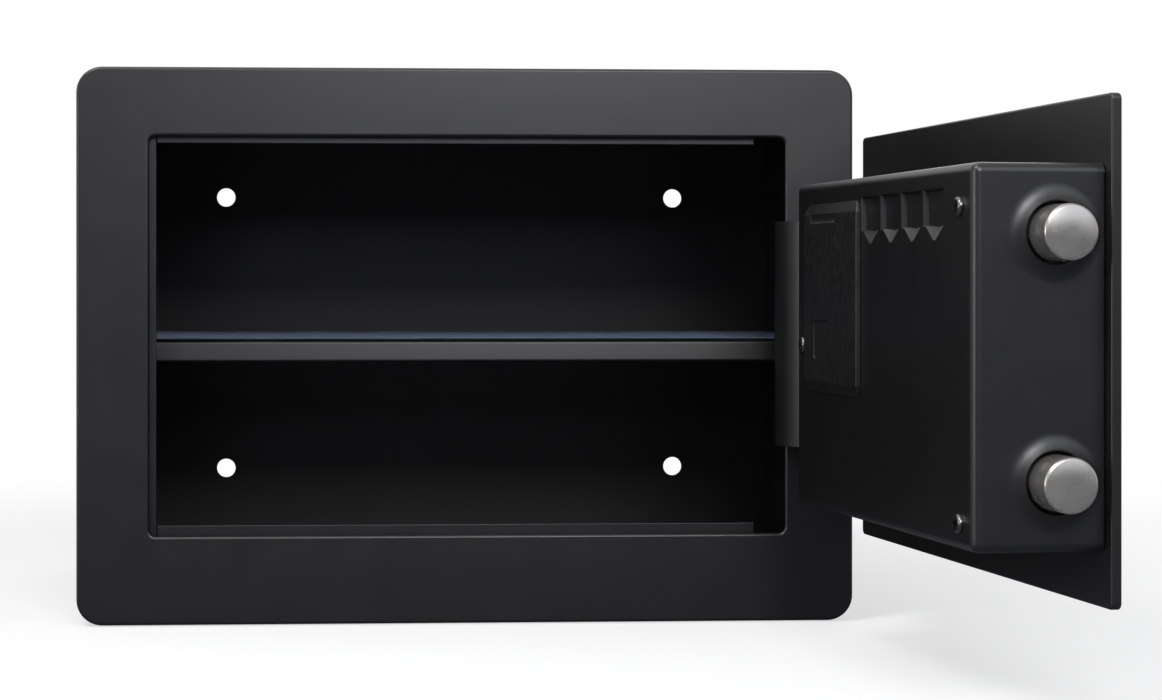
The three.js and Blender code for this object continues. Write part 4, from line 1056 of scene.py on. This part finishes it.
# %% Rim behind the cover
TRAY_WALL = 1.6
RIM_DEPTH = 2.2
RIM_WALL = 1.3
RIM_ROOT = 0.3
RIM_CORNER = 0.6
RIM_CORE_SHIFT = 0.5


def rim_block(inset, shift):
    """A block that fills the tray's mouth, smaller by an inset and moved inwards."""
    low_y = LID_SEAT - RIM_DEPTH - shift
    high_y = LID_SEAT + RIM_ROOT - shift
    margin = TRAY_WALL + TRAY_GAP + inset
    return slab("cover_rim", TRAY, low_y, high_y, RIM_CORNER, 3, grow=-margin)


rim = rim_block(0, 0)
cut(rim, rim_block(RIM_WALL, RIM_CORE_SHIFT))
combine(lid, rim, "UNION")
smooth(lid)
hang(lid, "battery_lid", dark_plastic, ["battery_lid"])

# %% [markdown]
# ### Screws of the lock box
# Three small pan heads hold the box. Each is turned like the bolts, with a domed head, and
# its cross is cut with two thin blocks. They stop at different angles, as driven screws do.

# %% Screws
HEAD_RADIUS = 3.4
HEAD_HEIGHT = 1.6
HEAD_DOME = 1.1
SHANK_RADIUS = 1.7
SHANK_LENGTH = 9
CROSS_LENGTH = 3.8
CROSS_WIDTH = 0.8
CROSS_DEPTH = 0.9
HEAD_TURN = {"box_screw_upper": 20, "box_screw_lower": 65, "box_screw_side": 38}

head_top = LID_SEAT + HEAD_HEIGHT
for node_name, (x, z) in BOX_SCREWS.items():
    screw = post(node_name + "_turned", HEAD_RADIUS, x, z, LID_SEAT, head_top)
    edit(screw, "FACE", lambda face: face.normal.y < -0.9)
    bpy.ops.mesh.inset(thickness=(HEAD_RADIUS - SHANK_RADIUS) * MM)
    pull(0, -SHANK_LENGTH, 0)
    done()
    round_edges(screw, folds_at("Y", head_top, 30), HEAD_DOME, 5)
    for size in ((CROSS_LENGTH, CROSS_WIDTH), (CROSS_WIDTH, CROSS_LENGTH)):
        cut(screw, slab("cross", around(x, z, *size), head_top - CROSS_DEPTH, head_top + OVER))
    smooth(screw)
    to_screw = Matrix.Translation(Vector((x, 0, z)) * MM)
    turn = Matrix.Rotation(math.radians(HEAD_TURN[node_name]), 4, "Y")
    screw.data.transform(to_screw @ turn @ to_screw.inverted())
    hang(screw, "door", black_zinc, [node_name])

# %% [markdown]
# ### Door plate
# The door is one thick plate. Its outline is milled and then painted, so its edges are
# small round lines, and the paint makes the edge nearest to the camera shine.

# %% Door plate
DOOR = (-141.9, 40.3, 142.3, 218.5)
DOOR_THICKNESS = 4
DOOR_CORNER = 2.4
DOOR_EDGE = 0.9
KNOB = (-48.0, 119.2)
LOCK = (-48.0, 159.2)
SPINDLE_HOLE = 4.3
LOCK_HOLE = 8.3
ROUND_HOLES = ((KNOB, SPINDLE_HOLE), (LOCK, LOCK_HOLE))
CABLE_SLOT = (27.5, 97.9, 40.5, 101.9)
CABLE_SLOT_CORNER = 1
DOOR_REACH = 2

door_back = FRONT + DOOR_THICKNESS
through = (FRONT - DOOR_REACH, door_back + DOOR_REACH)
plate = slab("door_sheet", DOOR, FRONT, door_back, DOOR_CORNER, 6)
round_edges(plate, lambda edge: is_fold(edge, 60) and not runs_along_y(edge), DOOR_EDGE, 4)
for place, radius in ROUND_HOLES:
    drill(plate, radius, *place, *through)
cut(plate, slab("cable_slot", CABLE_SLOT, *through, CABLE_SLOT_CORNER, 3))
smooth(plate)
hang(plate, "door", black_coat, ["door_plate"])

# %% [markdown]
# ### Keypad
# The outside of the door has a moulded panel. It is a rounded block with a soft front edge,
# hollowed from behind. The keys stand in a shallow field, and each has its own hole.

# %% Keypad panel
PANEL = (-80.0, 78.4, 72.0, 180.4)
PANEL_FRONT, PANEL_BACK = -137.3, -125.3
PANEL_CORNER = 9
PANEL_ROUND = 2
PANEL_WALL = 2
KEY_FIELD = (6.0, 90.9, 62.0, 156.9)
KEY_FIELD_DEPTH = 0.4
KEY_FIELD_CORNER = 4
KEY_COLUMNS = (16.0, 34.0, 52.0)
KEY_ROWS = (147.9, 131.9, 115.9, 99.9)
KEY_WIDTH, KEY_HEIGHT = 13.5, 11.5
KEY_CORNER = 2.5
KEY_GAP = 0.3
LIGHT = (34.0, 164.65)
LIGHT_WIDTH, LIGHT_HEIGHT = 26, 5
LIGHT_CORNER = 2.4

panel = slab("keypad_cover", PANEL, PANEL_FRONT, PANEL_BACK, PANEL_CORNER, 10)
round_edges(panel, folds_at("Y", PANEL_FRONT), PANEL_ROUND, 6)
inner_corner = PANEL_CORNER - PANEL_WALL
hollow = (PANEL_FRONT + PANEL_WALL, PANEL_BACK + OVER)
cut(panel, slab("hollow", PANEL, *hollow, inner_corner, 8, grow=-PANEL_WALL))
field_depth = (PANEL_FRONT - OVER, PANEL_FRONT + KEY_FIELD_DEPTH)
cut(panel, slab("key_field", KEY_FIELD, *field_depth, KEY_FIELD_CORNER, 6))
through = (PANEL_FRONT - OVER, PANEL_FRONT + PANEL_WALL + OVER)
for x in KEY_COLUMNS:
    for z in KEY_ROWS:
        outline = around(x, z, KEY_WIDTH + 2 * KEY_GAP, KEY_HEIGHT + 2 * KEY_GAP)
        cut(panel, slab("key_hole", outline, *through, KEY_CORNER, 4))
outline = around(*LIGHT, LIGHT_WIDTH + 2 * KEY_GAP, LIGHT_HEIGHT + 2 * KEY_GAP)
cut(panel, slab("light_hole", outline, *through, LIGHT_CORNER + KEY_GAP, 4))
for place, radius in ROUND_HOLES:
    drill(panel, radius, *place, *through)
smooth(panel)
hang(panel, "door", dark_plastic, ["keypad_panel"])

# %% [markdown]
# The keys are moulded caps with a flange behind the panel. Their digits are text, made a
# mesh and laid just proud of each cap, as a thick print is.

# %% Keys
KEY_FACE = -139.5
KEY_SEAT = -135.0
KEY_ROOT = 0.3
KEY_FLANGE = 1.0
KEY_FLANGE_CORNER = 1.5
KEY_FLANGE_BACK = -133.8
KEY_EDGE = 1.0
DIGIT_SIZE = 8.0
DIGIT_PROUD = 0.12
KEY_NAMES = ["1", "2", "3", "4", "5", "6", "7", "8", "9", "star", "0", "hash"]
KEY_MARKS = {"star": "*", "hash": "#"}

digit_print = moulded("digit_print", srgb(28, 30, 33), 0.5)
for i, name in enumerate(KEY_NAMES):
    x = KEY_COLUMNS[i % 3]
    z = KEY_ROWS[i // 3]
    key_name = "key_" + name
    outline = around(x, z, KEY_WIDTH, KEY_HEIGHT)
    key = slab(key_name + "_cap", outline, KEY_FACE, KEY_SEAT + KEY_ROOT, KEY_CORNER, 4)
    round_edges(key, folds_at("Y", KEY_FACE), KEY_EDGE, 4)
    outline = around(x, z, KEY_WIDTH + 2 * KEY_FLANGE, KEY_HEIGHT + 2 * KEY_FLANGE)
    flange = slab("flange", outline, KEY_SEAT, KEY_FLANGE_BACK, KEY_FLANGE_CORNER, 4)
    combine(key, flange, "UNION")
    smooth(key)
    hang(key, key_name, key_plastic, [key_name])

    pick()
    bpy.ops.object.text_add()
    digit = bpy.context.active_object
    digit.data.body = KEY_MARKS.get(name, name)
    digit.data.align_x = "CENTER"
    digit.data.align_y = "CENTER"
    digit.data.size = DIGIT_SIZE * MM
    digit.data.extrude = DIGIT_PROUD * MM
    bpy.ops.object.convert(target="MESH")
    digit = bpy.context.active_object
    digit.name = digit.data.name = "digit_" + name
    digit.data.transform(Matrix.Rotation(math.pi / 2, 4, "X"))
    digit.data.transform(Matrix.Translation(Vector((x, KEY_FACE, z)) * MM))
    edit(digit, "VERT")
    bpy.ops.mesh.remove_doubles(threshold=0.01 * MM)
    bpy.ops.mesh.normals_make_consistent(inside=False)
    done()
    hang(digit, key_name, digit_print)

# %% [markdown]
# ### Knob, key cap and light
# The knob is a ribbed disc with a straight grip across it. The ribs are small cylinders cut
# from its rim, and a pale line on the grip shows how it stands.

# %% Knob
KNOB_SEAT = -137.8
KNOB_RADIUS = 18
KNOB_DISC_FRONT = -144.8
KNOB_TOP = -155.8
KNOB_FRONT_EDGE, KNOB_BACK_EDGE = 1.6, 0.6
KNOB_RIBS = 36
RIB_RADIUS = 0.7
RIB_START, RIB_STOP = -145.8, -139.3
GRIP_WIDTH = 9
GRIP_HALF = 14.6
GRIP_CORNER = 3
GRIP_ROUND = 2
GRIP_ROOT = 1
BORE_END = -151.8
LINE_HALF = 0.6
LINE_FROM, LINE_TO = 2, 11
LINE_PROUD, LINE_SUNK = 0.1, 0.4
LINE_CORNER = 0.55
LINE_EDGE = 0.08

x, z = KNOB
knob = post("knob_turned", KNOB_RADIUS, x, z, KNOB_DISC_FRONT, KNOB_SEAT, 144)
round_edges(knob, folds_at("Y", KNOB_DISC_FRONT), KNOB_FRONT_EDGE, 5)
round_edges(knob, folds_at("Y", KNOB_SEAT), KNOB_BACK_EDGE, 2)
ribs = []
for i in range(KNOB_RIBS):
    angle = 2 * math.pi * i / KNOB_RIBS
    rib_x = x + KNOB_RADIUS * math.cos(angle)
    rib_z = z + KNOB_RADIUS * math.sin(angle)
    ribs.append(post("rib", RIB_RADIUS, rib_x, rib_z, RIB_START, RIB_STOP, 12))
pick(*ribs)
bpy.ops.object.join()
cut(knob, bpy.context.active_object)
outline = around(x, z, GRIP_WIDTH, 2 * GRIP_HALF)
grip = slab("grip", outline, KNOB_TOP, KNOB_DISC_FRONT + GRIP_ROOT, GRIP_CORNER, 5)
round_edges(grip, folds_at("Y", KNOB_TOP), GRIP_ROUND, 5)
combine(knob, grip, "UNION")
drill(knob, SPINDLE_HOLE, x, z, BORE_END, KNOB_SEAT + OVER)
smooth(knob)
hang(knob, "knob", knob_plastic, ["knob"])

outline = (x - LINE_HALF, z + LINE_FROM, x + LINE_HALF, z + LINE_TO)
line = slab("knob_line", outline, KNOB_TOP - LINE_PROUD, KNOB_TOP + LINE_SUNK, LINE_CORNER, 4)
round_edges(line, folds_at("Y", KNOB_TOP - LINE_PROUD), LINE_EDGE, 2)
smooth(line)
hang(line, "knob", key_plastic)

# %% Key cap and light
CAP_RADIUS = 12
CAP_FRONT, CAP_SEAT = -139.85, -137.45
CAP_EDGE = 1.1
CAP_RING = 2.2
CAP_SLOPE = 0.6
CAP_DISH = 0.5
LIGHT_PROUD = 0.6
LIGHT_BACK = -132.4
LIGHT_EDGE = 0.5

cap = post("cap_turned", CAP_RADIUS, *LOCK, CAP_FRONT, CAP_SEAT, 96)
round_edges(cap, folds_at("Y", CAP_FRONT), CAP_EDGE, 5)
edit(cap, "FACE", lambda face: face.normal.y < -0.99)
bpy.ops.mesh.inset(thickness=CAP_RING * MM)
bpy.ops.mesh.inset(thickness=CAP_SLOPE * MM)
bpy.ops.transform.translate(value=(0, CAP_DISH * MM, 0))
done()
smooth(cap)
hang(cap, "keyhole_cap", dark_plastic, ["keyhole_cap"])

light_front = PANEL_FRONT - LIGHT_PROUD
outline = around(*LIGHT, LIGHT_WIDTH, LIGHT_HEIGHT)
lens = slab("light_lens", outline, light_front, LIGHT_BACK, LIGHT_CORNER, 4)
round_edges(lens, folds_at("Y", light_front), LIGHT_EDGE, 4)
smooth(lens)
hang(lens, "door", green_lens, ["indicator_light"])

# %% [markdown]
# ### Brackets, bars and the works inside
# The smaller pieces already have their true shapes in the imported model, but plain solids
# have knife edges. A copy of each is merged into one surface and its flat faces are joined
# up. A narrow bevel then breaks the edges, and smooth shading hides the facets of its round
# parts. Stamped sheet gets a smaller edge than cast or moulded pieces.

# %% Break the edges of the smaller pieces
STAMPED_EDGE = 0.3
MOULDED_EDGE = 0.15
bodies = frame["record"]["behaviour"]["bodies"]
body_of_node = {node_name: body for body, names in bodies.items() for node_name in names}


def soften(node_name, radius):
    """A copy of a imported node, with its edges broken and its round faces smooth."""
    mesh = frame["nodes"][node_name].data.copy()
    piece = bpy.data.objects.new(node_name + "_eased", mesh)
    bpy.context.scene.collection.objects.link(piece)
    edit(piece, "VERT")
    bpy.ops.mesh.remove_doubles(threshold=0.01 * MM)
    bpy.ops.mesh.dissolve_limited(angle_limit=math.radians(1))
    done()
    modify(
        piece,
        "BEVEL",
        width=radius * MM,
        segments=2,
        limit_method="ANGLE",
        angle_limit=math.radians(40),
    )
    smooth(piece, 35)
    slot_name = slot_of_node[node_name]
    finish = FINISH_OF_SLOT[slot_name]
    finish_piece(piece, body_of_node[node_name], finish, [node_name])


STAMPED = [
    "stop_strip_top",
    "stop_strip_bottom",
    "stop_strip_left",
    "hinge_bracket_lower",
    "hinge_bracket_upper",
    "hinge_arm",
    "shelf_ledge_left",
    "shelf_ledge_right",
    "bolt_guide_lower",
    "bolt_guide_upper",
    "box_bracket",
    "bolt_bar",
    "solenoid_frame",
    "override_cam",
    "knob_cam",
]
TURNED_OR_MOULDED = [
    "hinge_pin",
    "knob_spindle",
    "solenoid_coil",
    "solenoid_plunger",
    "circuit_board",
    "keypad_board",
    "keypad_cable",
    "battery_tray",
    "battery_cell_1",
    "battery_cell_2",
    "battery_cell_3",
    "battery_cell_4",
    "reset_button",
    "override_lock_body",
    "override_plug",
]
for node_name in STAMPED:
    soften(node_name, STAMPED_EDGE)
for node_name in TURNED_OR_MOULDED:
    soften(node_name, MOULDED_EDGE)
still_plain = [name for name, node in frame["nodes"].items() if not node.hide_render]
print("nodes still plain:", still_plain)
